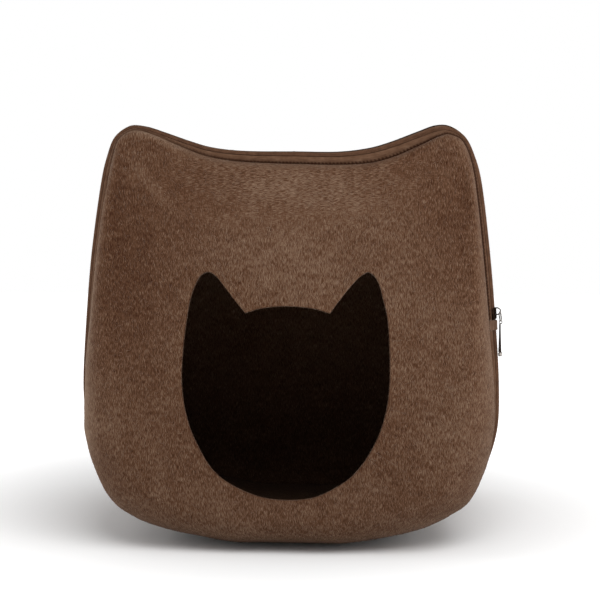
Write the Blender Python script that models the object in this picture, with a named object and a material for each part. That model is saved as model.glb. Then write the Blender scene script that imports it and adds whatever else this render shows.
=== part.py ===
"""A felt cat cave: a soft box whose outline is a cat's head with two ears.

Three pieces of stiff felt make it: a domed front with a cat-head doorway, a side wall that runs
right round and is flat underneath, and a domed back. A zip runs round the front between its two
tapes. Its ends meet under a small sewn tab on the right, and the slider is parked above that tab.

Metres, +Z up. The front faces -Y. The origin is the middle of the flat underside, on the floor.
"""

import math

import bmesh
import bpy
import numpy as np
from mathutils import Matrix, Vector

# All sizes below are millimetres, and MM turns them into Blender's metres.
MM = 0.001

# Felt
FELT = 4.0
GAP = 0.3  # between pieces that are sewn together

# Depths along Y
ZIP_Y = -134.0  # the coil over the ears
BACK_Y = 171.0  # the back's face, before its dome
BACK_ROLL = 13.0  # the back's seam lies this far in front of its face
BACK_DOME = 9.0
BACK_SCALE = 0.92  # the outline at the back, as a share of the front's

# The front's face, measured forwards from the coil over the ears
FACE_TOP = 20.0
FACE_LOW = 46.0
FACE_LOW_BELOW = 90.0  # the face leans back between these heights
FACE_TOP_ABOVE = 400.0
FACE_DOME = 7.0
HALF_WIDTH = 200.0
MID_HEIGHT = 185.0
HALF_HEIGHT = 215.0

# Zip
TAPE = 1.0
TAPE_SINK = 1.3  # the tapes lie this far under the felt's outer face
REAR_GAP = 0.7  # the rear tape slopes, so its lower corner is nearer to the wall than this
COIL_BACK = 7.5  # from the front's seam back to the middle of the coil
SLOT = 15.5  # from the front's seam back to the wall's
COIL_WIDTH = 4.6
COIL_TOP_WIDTH = 2.8
COIL_HEIGHT = 2.4

# Slider, pull and tab, on the right side
SLIDER_Z = 227.0
SLIDER_LENGTH = 11.0
SLIDER_WIDTH = 8.4
SLIDER_TAIL = 6.8
PLATE = 1.2
PLATE_OVER = 1.5  # from the coil's middle out to the upper plate
PLATE_UNDER = 3.1  # and in to the lower one, which the tapes slope down towards
POST = 3.0
POST_DROP = 2.0  # the post stands this far below the slider's middle
POST_WIDTH = 2.4
BAIL_MIDDLE = 1.8  # above the slider's middle
BAIL_WIDTH = 1.8
BAIL_LENGTH = 6.6
BAIL_HEIGHT = 5.2
BAIL_BAR = 1.2
PULL_LENGTH = 43.0
PULL_WIDTH = 5.2
PULL_NECK = 3.6
PULL_THICK = 1.3
PULL_RIM = 1.3
PULL_EYE = 10.5
PULL_TIP = 4.0
PULL_TIP_THICK = 2.1
PULL_OUT = 5.6  # from the coil's middle out to where the pull hangs
PULL_LEAN = 3.5  # degrees, from the zip's slope back towards plumb
TAB_Z = 215.8
TAB_LENGTH = 9.5
TAB_THICK = 1.0

# How finely the solids are cut
STEPS_PER_ROW = 2
ROLL_STEPS = 4
FACE_STEPS = 5
WALL_STEPS = 3
BACK_STEPS = 3

# Sections through the cave, from the middle of the floor round to the middle of the top.
# x_l, x_r        how far the outline reaches to the left and to the right of the middle
# z_l, z_r        its height there
# door_l, door_r  the doorway's edge, to the left and to the right of the middle
# door_z          its height
# band_l, band_r  the width of zip that shows between the outline and the front's seam
# roll            the width over which the front's edge rolls over
# seam            how far the front's seam lies behind its place over the ears
# coil_l, coil_r  how far the coil's middle lies inside the outline
COLUMNS = (
    ("x_l", "x_r", "z_l", "z_r", "door_l", "door_r", "door_z")
    + ("band_l", "band_r", "roll", "seam", "coil_l", "coil_r")
)
SECTIONS = np.array(
    [
        (0, 0, 0, 0, 0, 0, 53, 0, 0, 37, 31, 1.8, 1.8),
        (50, 50, 0, 0, 21, 24, 55, 0, 0, 38, 31, 1.8, 1.8),
        (90.8, 90.8, 6.2, 6.2, 42, 42, 62.5, 0, 0, 42, 31, 1.8, 1.8),
        (124.1, 123.6, 12.7, 14.2, 60, 58.5, 73, 0, 0, 46, 31, 1.8, 1.8),
        (151.9, 150.3, 22.8, 25.7, 71.5, 70, 85, 0, 0, 49, 31, 1.8, 1.8),
        (176.5, 174.5, 41.2, 42.8, 80.5, 80, 100.5, 0, 0.2, 51, 29, 1.8, 1.8),
        (191.5, 190.6, 75, 75.3, 89, 88.5, 119, 0.2, 1.4, 48, 23, 1.8, 1.9),
        (200.3, 200.4, 111.9, 111.9, 95, 94.5, 141.5, 1.8, 5, 40, 14, 1.8, 1.9),
        (202.6, 201.7, 150, 150, 97.5, 97, 167.5, 5.7, 6.1, 31, 7, 2, 2.2),
        (199.8, 199.1, 200, 200, 96, 96.5, 197, 6.4, 7.9, 21, 3, 2.3, 2.4),
        (193, 192.3, 277, 276.9, 93, 94.5, 223, 8.4, 8, 12, 0, 2.6, 2.4),
        (183, 183.7, 346.9, 347.1, 89.5, 90, 242, 9.4, 7.5, 8, 0, 2.6, 2.4),
        (176.1, 176, 376.4, 376.4, 85, 86.5, 254.5, 8.5, 6.1, 7, 0, 2.6, 2.4),
        (168.2, 167.1, 394.4, 393.5, 80.5, 82, 262, 7.6, 6.5, 7, 0, 2.6, 2.6),
        (153.3, 152.9, 404.8, 403.6, 73.5, 76.5, 265.5, 7.5, 10.4, 7, 0, 2.6, 3.9),
        (138.8, 138.8, 404.4, 404.4, 66.5, 69.5, 262, 6.4, 13, 7, 0, 2.6, 5.1),
        (121.6, 121.8, 399.1, 398.5, 59, 61, 253.5, 6.9, 14.4, 7, 0, 2.6, 4.7),
        (96.4, 96.8, 390.3, 389.1, 49, 50.5, 240.5, 8.9, 16, 7, 0, 2.6, 4.2),
        (74.6, 74.8, 384.1, 383, 38, 41, 227.5, 10.6, 15.9, 7, 0, 2.7, 4.1),
        (44.9, 45, 380.8, 379.7, 22.5, 24.5, 232, 12, 13.9, 7, 0, 3, 3.7),
        (0, 0, 380.1, 380.1, 0, 0, 234, 13.4, 13.4, 7, 0, 3.4, 3.4),
    ],
    float,
)
NOTCH_ROW = 18  # the doorway has a corner here, between each ear and its crown
EAR_ROW = 14  # the outline climbs as far as this row
LAST_ROW = len(SECTIONS) - 1


def material(name, colour, roughness, metallic=0.0):
    made = bpy.data.materials.new(name)
    made.use_nodes = True
    shader = made.node_tree.nodes["Principled BSDF"]
    shader.inputs["Base Color"].default_value = (*colour, 1.0)
    shader.inputs["Roughness"].default_value = roughness
    shader.inputs["Metallic"].default_value = metallic
    return made


def column(name):
    return SECTIONS[:, COLUMNS.index(name)]


def curve_at(x, z, at, corner=None):
    """A smooth curve through the points (x, z), one for each row, read at the row numbers in at.

    It crosses the middle plane squarely at its first and last rows, and turns sharply at a corner.
    """
    points = np.column_stack([x, z])
    other_side = points * (-1, 1)
    before = np.vstack([other_side[1], points[:-1]])
    after = np.vstack([points[1:], other_side[-2]])
    arriving = (after - before) / 2
    leaving = arriving.copy()
    if corner is not None:
        arriving[corner] = points[corner] - points[corner - 1]
        leaving[corner] = points[corner + 1] - points[corner]
    row = np.minimum(np.floor(at).astype(int), len(points) - 2)
    s = (at - row)[:, None]
    start = (2 * s**3 - 3 * s**2 + 1) * points[row] + (s**3 - 2 * s**2 + s) * leaving[row]
    end = (3 * s**2 - 2 * s**3) * points[row + 1] + (s**3 - s**2) * arriving[row + 1]
    return start + end


def outline_curve(side, at):
    """One side of the outline at the row numbers in at, level along the floor."""
    curve = curve_at(column("x_" + side), column("z_" + side), at)
    curve[:, 1] = np.where(at <= 1, 0.0, np.maximum(curve[:, 1], 0.0))
    return curve


def sections_at(place):
    """The outline, the doorway, the direction across to the inside and the sizes at some places.

    Places are row numbers that go up the right half, and on from LAST_ROW down the left one.
    """
    place = np.mod(place, 2 * LAST_ROW)
    on_right = place <= LAST_ROW
    at = np.where(on_right, place, 2 * LAST_ROW - place)
    mirror = np.column_stack([np.where(on_right, 1.0, -1.0), np.ones(len(at))])
    before, after = np.maximum(at - 0.2, 0), np.minimum(at + 0.2, LAST_ROW)
    sides = []
    for side in "rl":
        along = outline_curve(side, after) - outline_curve(side, before)
        along[(at <= 1) | (at == LAST_ROW), 1] = 0.0
        made = {
            "outline": outline_curve(side, at),
            "across": unit(np.column_stack([-along[:, 1], along[:, 0]])),
            "door": curve_at(column("door_" + side), column("door_z"), at, NOTCH_ROW),
        }
        for name in ("band", "coil"):
            made[name] = np.interp(at, range(LAST_ROW + 1), column(name + "_" + side))
        sides.append(made)
    right, left = sides
    sections = {}
    for name in ("outline", "across", "door"):
        sections[name] = np.where(on_right[:, None], right[name], left[name]) * mirror
    for name in ("band", "coil"):
        sections[name] = np.where(on_right, right[name], left[name])
    for name in ("roll", "seam"):
        sections[name] = np.interp(at, range(LAST_ROW + 1), column(name))
    return sections


def unit(vectors):
    return vectors / np.linalg.norm(vectors, axis=-1, keepdims=True)


def in_space(flat, y):
    """Points whose x and z are given in a plane, at the depth y."""
    return np.column_stack([flat[:, 0], np.broadcast_to(y, len(flat)), flat[:, 1]])


def face_y(flat):
    """The depth of the front's face: it leans back towards the top and is slightly domed."""
    x, z = flat[:, 0], flat[:, 1]
    lean = np.clip((z - FACE_LOW_BELOW) / (FACE_TOP_ABOVE - FACE_LOW_BELOW), 0, 1)
    lean = lean * lean * (3 - 2 * lean)
    dome = (1 - (x / HALF_WIDTH) ** 2) * (1 - ((z - MID_HEIGHT) / HALF_HEIGHT) ** 2)
    return ZIP_Y - FACE_LOW - (FACE_TOP - FACE_LOW) * lean - FACE_DOME * np.clip(dome, 0, 1)


def front_seam(s):
    """The line where the front's felt ends, in its plane, and its depth."""
    return s["outline"] + s["across"] * s["band"][:, None], ZIP_Y - COIL_BACK + s["seam"]


def front_rows(s):
    """Rows of the front's outer face, from its seam over the rolled edge and in to the doorway."""
    seam, seam_y = front_seam(s)
    roll = unit(s["door"] - seam) * s["roll"][:, None]
    rows = []
    for i in range(ROLL_STEPS + 1):
        turn = math.pi / 2 * i / ROLL_STEPS
        flat = seam + roll * (1 - math.cos(turn))
        rows.append(in_space(flat, seam_y + (face_y(flat) - seam_y) * math.sin(turn)))
    start = seam + roll
    for i in range(1, FACE_STEPS + 1):
        flat = start + (s["door"] - start) * i / FACE_STEPS
        rows.append(in_space(flat, face_y(flat)))
    return rows


def outline_at(s, y):
    """The outline at the depth y: it shrinks a little towards the back, and stays on the floor."""
    share = np.clip((y - ZIP_Y) / (BACK_Y - ZIP_Y), 0, 1)
    scale = 1 - (1 - BACK_SCALE) * np.broadcast_to(share, len(s["outline"]))
    return in_space(s["outline"] * scale[:, None], y)


def wall_rows(s):
    """Rows of the side wall's outer face, from the back's seam forwards to the zip."""
    front = front_seam(s)[1] + SLOT
    back = BACK_Y - BACK_ROLL - GAP
    return [outline_at(s, back + (front - back) * i / WALL_STEPS) for i in range(WALL_STEPS + 1)]


def back_middle():
    return np.array([0.0, BACK_Y + BACK_DOME, MID_HEIGHT * BACK_SCALE])


def back_rows(s):
    """Rows of the back's outer face, from near its middle out over the rolled edge to its seam."""
    seam = outline_at(s, BACK_Y - BACK_ROLL)[:, [0, 2]]
    middle = back_middle()[[0, 2]]
    roll = unit(middle - seam) * BACK_ROLL
    rows = []
    for i in range(ROLL_STEPS):
        turn = math.pi / 2 * i / ROLL_STEPS
        flat = seam + roll * (1 - math.cos(turn))
        rows.append(in_space(flat, BACK_Y - BACK_ROLL * (1 - math.sin(turn))))
    start = seam + roll
    for i in range(BACK_STEPS):
        share = i / BACK_STEPS
        dome = BACK_DOME * (1 - (1 - share) ** 2)
        rows.append(in_space(start + (middle - start) * share, BACK_Y + dome))
    return rows[::-1]


def shape_object(name, shape, finish):
    """An object of a finished shape in millimetres, with its faces turned outwards and smooth."""
    bmesh.ops.scale(shape, vec=(MM, MM, MM), verts=shape.verts)
    bmesh.ops.recalc_face_normals(shape, faces=shape.faces)
    mesh = bpy.data.meshes.new(name)
    shape.to_mesh(mesh)
    shape.free()
    mesh.materials.append(finish)
    mesh.shade_smooth()
    mesh.set_sharp_from_angle(angle=math.radians(40))
    made = bpy.data.objects.new(name, mesh)
    bpy.context.scene.collection.objects.link(made)
    return made


def faced_shape(points, faces):
    shape = bmesh.new()
    corners = [shape.verts.new(point) for point in points]
    for face in faces:
        shape.faces.new([corners[number] for number in face])
    return shape


def quads(count, first, second, closed=True):
    """Quads between two rows of count points that start at the numbers first and second."""
    spans = range(count if closed else count - 1)
    return [(first + i, first + (i + 1) % count, second + (i + 1) % count, second + i) for i in spans]


def felt_piece(name, rows, seams, finish, tip=None):
    """A piece of felt, FELT thick, with its outer face given in rows that each run right round.

    A row number in seams is an edge that is cut square to the depth, to butt against its seam.
    A tip closes the piece beyond its first row.
    """
    outer = np.array(rows)
    along = np.roll(outer, -1, axis=1) - np.roll(outer, 1, axis=1)
    out = unit(np.cross(along, np.gradient(outer, axis=0)))
    for row in seams:
        out[row] = unit(out[row] * (1, 0, 1))
    inner = outer - out * FELT
    row_count, count = outer.shape[:2]
    points = list(outer.reshape(-1, 3)) + list(inner.reshape(-1, 3))
    behind = row_count * count
    last = behind - count
    faces = quads(count, last, behind + last)
    for row in range(0, last, count):
        faces += quads(count, row, row + count)
        faces += quads(count, behind + row + count, behind + row)
    if tip is None:
        faces += quads(count, behind, 0)
    else:
        points += [tip, tip - (0, FELT, 0)]
        for i in range(count):
            following = (i + 1) % count
            faces += [(i, 2 * behind, following), (behind + i, behind + following, 2 * behind + 1)]
    return shape_object(name, faced_shape(points, faces), finish)


def strip(name, corners, finish):
    """A strip with two ends: each corner of its section is given as a row of points."""
    count = len(corners[0])
    near_end = [row * count for row in range(len(corners))]
    faces = [near_end, [number + count - 1 for number in near_end]]
    for row in range(len(corners)):
        faces += quads(count, row * count, (row + 1) % len(corners) * count, closed=False)
    return shape_object(name, faced_shape(np.vstack(corners), faces), finish)


def place_at(height):
    """The place on the right side where the outline reaches a height."""
    return np.interp(height, column("z_r")[1 : EAR_ROW + 1], range(1, EAR_ROW + 1))


def zip_places(start, end):
    """The places of the zip's points, up from start, round over the top and back to end from below."""
    end += 2 * LAST_ROW
    first = math.floor(start * STEPS_PER_ROW) + 1
    last = math.ceil(end * STEPS_PER_ROW)
    return np.array([start] + [i / STEPS_PER_ROW for i in range(first, last)] + [end])


class ZipLines:
    """The zip at some places: its front tape's edge, the coil's middle and its rear tape's edge,
    all sunk under the felt's face, with the directions that they lie in."""

    def __init__(self, place):
        s = sections_at(place)
        seam, seam_y = front_seam(s)
        across = s["across"]
        self.front = in_space(seam + across * TAPE_SINK, seam_y + GAP)
        self.coil = in_space(s["outline"] + across * s["coil"][:, None], seam_y + COIL_BACK)
        self.rear = outline_at(s, seam_y + SLOT - REAR_GAP) + in_space(across * TAPE_SINK, 0.0)
        self.out = in_space(-across, 0.0)
        self.across = unit(self.rear - self.front)
        self.up = self.squared(self.across)

    def squared(self, across):
        """The part of the direction out of the cave that is square to across."""
        return unit(self.out - across * (self.out * across).sum(axis=1, keepdims=True))

    def tape(self, edge, inset=0.0):
        """A tape's two long edges, from inset off its felt edge to beside the coil, and its up."""
        across = unit(self.coil - edge)
        width = np.linalg.norm(self.coil - edge, axis=1, keepdims=True) - COIL_WIDTH / 2 - GAP
        return edge + across * inset, edge + across * width, self.squared(across)

    def coil_point(self, along_across, along_up):
        return self.coil + self.across * along_across + self.up * along_up


def zip_tape(name, edge_name, place, finish):
    lines = ZipLines(place)
    edge, end, up = lines.tape(getattr(lines, edge_name))
    return strip(name, [edge, end, end - up * TAPE, edge - up * TAPE], finish)


def zip_coil(place, finish):
    """The closed coil, as a strip with six sides."""
    lines = ZipLines(place)
    wide = COIL_WIDTH / 2
    narrow = COIL_TOP_WIDTH / 2
    high = COIL_HEIGHT / 2
    section = ((-wide, 0), (-narrow, high), (narrow, high), (wide, 0), (narrow, -high), (-narrow, -high))
    return strip("zip_coil", [lines.coil_point(a, b) for a, b in section], finish)


def zip_tab(place, finish):
    """The tab of cloth that is sewn over the zip's two ends, from one felt edge to the other."""
    lines = ZipLines(place)
    front, _, front_up = lines.tape(lines.front, TAB_THICK)
    rear, _, rear_up = lines.tape(lines.rear, TAB_THICK)
    crest = COIL_HEIGHT / 2
    levels = []
    for lift in (GAP, GAP + TAB_THICK):
        side = COIL_WIDTH / 2 + 1.5 * lift
        levels.append(
            [
                front + front_up * lift,
                lines.coil_point(-side, lift / 2),
                lines.coil_point(-COIL_TOP_WIDTH / 2, crest + lift),
                lines.coil_point(COIL_TOP_WIDTH / 2, crest + lift),
                lines.coil_point(side, lift / 2),
                rear + rear_up * lift,
            ]
        )
    return strip("zip_tab", levels[0] + levels[1][::-1], finish)


def flat_solid(outline, low, high, rounded=0.0):
    """A solid between two heights over a flat outline, whose upright edges may be rounded."""
    shape = faced_shape([(x, y, low) for x, y in outline], [range(len(outline))])
    raised = bmesh.ops.extrude_face_region(shape, geom=list(shape.faces))["geom"]
    top = [part for part in raised if isinstance(part, bmesh.types.BMVert)]
    bmesh.ops.translate(shape, vec=(0, 0, high - low), verts=top)
    if rounded:
        upright = [edge for edge in shape.edges if edge.verts[0].co.z != edge.verts[1].co.z]
        bmesh.ops.bevel(shape, geom=upright, offset=rounded, segments=3, profile=0.5, affect="EDGES")
    return shape


def block(width, y_low, y_high, z_low, z_high, end_width=None, rounded=0.0):
    """A solid centred on x, width wide at y_low and end_width at y_high."""
    half = width / 2
    end_half = (end_width or width) / 2
    outline = ((-half, y_low), (half, y_low), (end_half, y_high), (-end_half, y_high))
    return flat_solid(outline, z_low, z_high, rounded)


def combine(made, operation, *tools):
    """Join tools to an object, or cut them out of it."""
    for tool in tools:
        tool.hide_render = True
        tool.display_type = "WIRE"
        step = made.modifiers.new(tool.name, "BOOLEAN")
        step.operation = operation
        step.object = tool


def zip_slider(finish):
    """Two plates on a post that parts the coil, and a bail on top. Its length lies along Y."""
    half = SLIDER_LENGTH / 2
    top = PLATE_OVER + PLATE
    bail_low, bail_high = BAIL_MIDDLE - BAIL_LENGTH / 2, BAIL_MIDDLE + BAIL_LENGTH / 2
    bail_top = top + BAIL_HEIGHT
    plates = [
        block(SLIDER_TAIL, -half, half, low, low + PLATE, SLIDER_WIDTH, rounded=1.8)
        for low in (PLATE_OVER, -PLATE_UNDER - PLATE)
    ]
    made = shape_object("zip_slider", plates[0], finish)
    sunk = 0.4
    post_low, post_high = -POST_DROP - POST / 2, -POST_DROP + POST / 2
    post = block(POST_WIDTH, post_low, post_high, -PLATE_UNDER - sunk, PLATE_OVER + sunk)
    hoop = block(BAIL_WIDTH, bail_low, bail_high, top - sunk, bail_top)
    hole = block(2 * BAIL_WIDTH, bail_low + BAIL_BAR, bail_high - BAIL_BAR, top, bail_top - BAIL_BAR)
    tools = [
        shape_object(name, shape, finish)
        for name, shape in (("lower_plate", plates[1]), ("post", post), ("hoop", hoop), ("hoop_hole", hole))
    ]
    for tool in tools:
        tool.parent = made
    combine(made, "UNION", *tools[:3])
    combine(made, "DIFFERENCE", tools[3])
    return made


def zip_pull(finish):
    """A flat pull with a thicker tip. Its origin is the top of its eye, where it hangs on the bail."""
    thick, tip_thick = PULL_THICK / 2, PULL_TIP_THICK / 2
    bottom = PULL_RIM - PULL_LENGTH
    neck = -PULL_EYE - PULL_RIM
    half, slim = PULL_WIDTH / 2, PULL_NECK / 2
    side = ((half, PULL_RIM), (half, neck), (slim, neck - (half - slim) * 2), (half, bottom + PULL_TIP))
    outline = side + tuple((-x, y) for x, y in side[::-1])
    made = shape_object("zip_pull", flat_solid(outline, -thick, thick, rounded=0.9), finish)
    overlap = 1.5
    tip = block(PULL_WIDTH, bottom, bottom + PULL_TIP + overlap, -tip_thick, tip_thick, rounded=0.9)
    eye = block(PULL_WIDTH - 2 * PULL_RIM, -PULL_EYE, 0, -2 * thick, 2 * thick)
    tools = [shape_object("pull_tip", tip, finish), shape_object("pull_eye", eye, finish)]
    for tool in tools:
        tool.parent = made
    combine(made, "UNION", tools[0])
    combine(made, "DIFFERENCE", tools[1])
    return made


def on_zip(made, place, along=0.0, out=0.0, lean=0.0):
    """Set an object on the zip: X to the back across it, Y up along it and Z out of the cave.

    It stands off the coil's middle by along and out, and leans by some degrees about X.
    """
    lines = ZipLines(np.array([place]))
    across, outward = Vector(lines.across[0]), Vector(lines.up[0])
    turn = Matrix((across, outward.cross(across), outward)).transposed().to_4x4()
    stand = Matrix.Translation(Vector((0, along, out)) * MM) @ Matrix.Rotation(math.radians(lean), 4, "X")
    made.matrix_world = Matrix.Translation(Vector(lines.coil[0]) * MM) @ turn @ stand


def main():
    for old in list(bpy.data.objects):
        bpy.data.objects.remove(old)
    felt = material("felt", (0.125, 0.062, 0.035), 0.95)
    woven = material("zip_tape", (0.095, 0.045, 0.027), 0.8)
    nylon = material("zip_coil", (0.045, 0.02, 0.012), 0.55)
    tab_cloth = material("zip_tab", (0.27, 0.16, 0.1), 0.9)
    metal = material("zip_metal", (0.72, 0.7, 0.68), 0.25, metallic=1.0)

    s = sections_at(np.arange(0, 2 * LAST_ROW, 1 / STEPS_PER_ROW))
    felt_piece("front_panel", front_rows(s), (0,), felt)
    felt_piece("side_wall", wall_rows(s), (0, -1), felt)
    felt_piece("back_panel", back_rows(s), (-1,), felt, back_middle())

    tab_middle = place_at(TAB_Z)
    ends_apart = GAP / TAB_LENGTH  # rows of the table
    tapes_run = zip_places(tab_middle + ends_apart / 2, tab_middle - ends_apart / 2)
    zip_tape("zip_tape_front", "front", tapes_run, woven)
    zip_tape("zip_tape_rear", "rear", tapes_run, woven)
    coil_top_end = place_at(SLIDER_Z - POST_DROP + POST / 2 + GAP)
    zip_coil(zip_places(coil_top_end, tab_middle), nylon)
    tab_ends = place_at(TAB_Z - TAB_LENGTH / 2), place_at(TAB_Z + TAB_LENGTH / 2)
    zip_tab(np.linspace(*tab_ends, 3), tab_cloth)
    slider_place = place_at(SLIDER_Z)
    on_zip(zip_slider(metal), slider_place)
    hangs_at = BAIL_MIDDLE - BAIL_LENGTH / 2 + BAIL_BAR + GAP
    on_zip(zip_pull(metal), slider_place, hangs_at, PULL_OUT, PULL_LEAN)


main()
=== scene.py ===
# A felt cat cave: felt front, side wall and back, with a zip round the front edge.
# Lengths are millimetres up to the moment when a mesh is made, and mm turns them into metres.
# The front faces -Y, and the origin is the middle of the flat underside, on the floor.
import math

import bmesh
import bpy
import numpy as np
from mathutils import Matrix, Vector, noise


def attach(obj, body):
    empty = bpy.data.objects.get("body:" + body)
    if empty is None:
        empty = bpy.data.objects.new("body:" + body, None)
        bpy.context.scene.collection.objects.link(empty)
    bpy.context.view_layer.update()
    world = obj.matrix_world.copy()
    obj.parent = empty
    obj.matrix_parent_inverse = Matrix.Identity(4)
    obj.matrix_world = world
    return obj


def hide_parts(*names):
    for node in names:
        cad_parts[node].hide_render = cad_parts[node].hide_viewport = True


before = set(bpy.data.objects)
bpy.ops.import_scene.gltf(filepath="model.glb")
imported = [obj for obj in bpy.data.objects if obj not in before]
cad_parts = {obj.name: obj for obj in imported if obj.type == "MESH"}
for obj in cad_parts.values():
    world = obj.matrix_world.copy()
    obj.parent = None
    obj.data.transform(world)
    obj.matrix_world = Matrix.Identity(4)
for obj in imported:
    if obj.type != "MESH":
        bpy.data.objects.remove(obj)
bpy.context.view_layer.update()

mm = 0.001
print("frame loaded:", ", ".join(sorted(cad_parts)))

# The cave's own shape. It is the shape of the solids, read more finely.
cave = {
    "zipY": -134.0,  # the coil over the ears
    "backY": 171.0,  # the back's face, before its dome
    "backRoll": 13.0,
    "backDome": 9.0,
    "backScale": 0.92,
    "faceTop": 20.0,  # the face, measured forwards from the coil over the ears
    "faceLow": 46.0,
    "faceLowBelow": 90.0,
    "faceTopAbove": 400.0,
    "faceDome": 7.0,
    "halfWidth": 200.0,
    "midHeight": 185.0,
    "halfHeight": 215.0,
    "felt": 4.0,
    "gap": 0.3,  # between pieces that are sewn together
}

# Sections from the middle of the floor round to the middle of the top.
sectionColumns = (
    ("xLeft", "xRight", "zLeft", "zRight", "doorLeft", "doorRight", "doorZ")
    + ("bandLeft", "bandRight", "roll", "seam", "coilLeft", "coilRight")
)
sections = np.array(
    [
        (0, 0, 0, 0, 0, 0, 53, 0, 0, 37, 31, 1.8, 1.8),
        (50, 50, 0, 0, 21, 24, 55, 0, 0, 38, 31, 1.8, 1.8),
        (90.8, 90.8, 6.2, 6.2, 42, 42, 62.5, 0, 0, 42, 31, 1.8, 1.8),
        (124.1, 123.6, 12.7, 14.2, 60, 58.5, 73, 0, 0, 46, 31, 1.8, 1.8),
        (151.9, 150.3, 22.8, 25.7, 71.5, 70, 85, 0, 0, 49, 31, 1.8, 1.8),
        (176.5, 174.5, 41.2, 42.8, 80.5, 80, 100.5, 0, 0.2, 51, 29, 1.8, 1.8),
        (191.5, 190.6, 75, 75.3, 89, 88.5, 119, 0.2, 1.4, 48, 23, 1.8, 1.9),
        (200.3, 200.4, 111.9, 111.9, 95, 94.5, 141.5, 1.8, 5, 40, 14, 1.8, 1.9),
        (202.6, 201.7, 150, 150, 97.5, 97, 167.5, 5.7, 6.1, 31, 7, 2, 2.2),
        (199.8, 199.1, 200, 200, 96, 96.5, 197, 6.4, 7.9, 21, 3, 2.3, 2.4),
        (193, 192.3, 277, 276.9, 93, 94.5, 223, 8.4, 8, 12, 0, 2.6, 2.4),
        (183, 183.7, 346.9, 347.1, 89.5, 90, 242, 9.4, 7.5, 8, 0, 2.6, 2.4),
        (176.1, 176, 376.4, 376.4, 85, 86.5, 254.5, 8.5, 6.1, 7, 0, 2.6, 2.4),
        (168.2, 167.1, 394.4, 393.5, 80.5, 82, 262, 7.6, 6.5, 7, 0, 2.6, 2.6),
        (153.3, 152.9, 404.8, 403.6, 73.5, 76.5, 265.5, 7.5, 10.4, 7, 0, 2.6, 3.9),
        (138.8, 138.8, 404.4, 404.4, 66.5, 69.5, 262, 6.4, 13, 7, 0, 2.6, 5.1),
        (121.6, 121.8, 399.1, 398.5, 59, 61, 253.5, 6.9, 14.4, 7, 0, 2.6, 4.7),
        (96.4, 96.8, 390.3, 389.1, 49, 50.5, 240.5, 8.9, 16, 7, 0, 2.6, 4.2),
        (74.6, 74.8, 384.1, 383, 38, 41, 227.5, 10.6, 15.9, 7, 0, 2.7, 4.1),
        (44.9, 45, 380.8, 379.7, 22.5, 24.5, 232, 12, 13.9, 7, 0, 3, 3.7),
        (0, 0, 380.1, 380.1, 0, 0, 234, 13.4, 13.4, 7, 0, 3.4, 3.4),
    ],
    float,
)
lastRow = len(sections) - 1
notchRow = 18  # the doorway's corner between an ear and the crown
earRow = 14  # the outline climbs as far as this row


def column(name):
    return sections[:, sectionColumns.index(name)]


def unit(vectors):
    return vectors / np.linalg.norm(vectors, axis=-1, keepdims=True)


def smooth(share):
    share = np.clip(share, 0, 1)
    return share * share * (3 - 2 * share)


def curveAt(x, z, at, corner=None):
    # a smooth curve through (x, z), one point a row, level where it meets the middle
    points = np.column_stack([x, z])
    otherSide = points * (-1, 1)
    before = np.vstack([otherSide[1], points[:-1]])
    after = np.vstack([points[1:], otherSide[-2]])
    arriving = (after - before) / 2
    leaving = arriving.copy()
    if corner is not None:
        arriving[corner] = points[corner] - points[corner - 1]
        leaving[corner] = points[corner + 1] - points[corner]
    row = np.minimum(np.floor(at).astype(int), len(points) - 2)
    s = (at - row)[:, None]
    start = (2 * s**3 - 3 * s**2 + 1) * points[row] + (s**3 - 2 * s**2 + s) * leaving[row]
    end = (3 * s**2 - 2 * s**3) * points[row + 1] + (s**3 - s**2) * arriving[row + 1]
    return start + end


def outlineCurve(side, at):
    curve = curveAt(column("x" + side), column("z" + side), at)
    curve[:, 1] = np.where(at <= 1, 0.0, np.maximum(curve[:, 1], 0.0))
    return curve


def sectionsAt(place):
    # places are row numbers that go up the right half, and on from lastRow down the left one
    place = np.mod(place, 2 * lastRow)
    onRight = place <= lastRow
    at = np.where(onRight, place, 2 * lastRow - place)
    mirror = np.column_stack([np.where(onRight, 1.0, -1.0), np.ones(len(at))])
    before, after = np.maximum(at - 0.2, 0), np.minimum(at + 0.2, lastRow)
    rows = range(lastRow + 1)
    sides = []
    for side in ("Right", "Left"):
        along = outlineCurve(side, after) - outlineCurve(side, before)
        along[(at <= 1) | (at == lastRow), 1] = 0.0
        made = {
            "outline": outlineCurve(side, at),
            "across": unit(np.column_stack([-along[:, 1], along[:, 0]])),
            "door": curveAt(column("door" + side), column("doorZ"), at, notchRow),
        }
        for name in ("band", "coil"):
            made[name] = np.interp(at, rows, column(name + side))
        sides.append(made)
    right, left = sides
    made = {}
    for name in ("outline", "across", "door"):
        made[name] = np.where(onRight[:, None], right[name], left[name]) * mirror
    for name in ("band", "coil"):
        made[name] = np.where(onRight, right[name], left[name])
    for name in ("roll", "seam"):
        made[name] = np.interp(at, rows, column(name))
    return made


def inSpace(flat, y):
    return np.column_stack([flat[:, 0], np.broadcast_to(y, len(flat)), flat[:, 1]])


def faceY(flat):
    x, z = flat[:, 0], flat[:, 1]
    lean = smooth((z - cave["faceLowBelow"]) / (cave["faceTopAbove"] - cave["faceLowBelow"]))
    dome = (1 - (x / cave["halfWidth"]) ** 2) * (1 - ((z - cave["midHeight"]) / cave["halfHeight"]) ** 2)
    forward = cave["faceLow"] + (cave["faceTop"] - cave["faceLow"]) * lean
    return cave["zipY"] - forward - cave["faceDome"] * np.clip(dome, 0, 1)


def frontSeam(s):
    return s["outline"] + s["across"] * s["band"][:, None], cave["zipY"] - zipSizes["coilBack"] + s["seam"]


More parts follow.
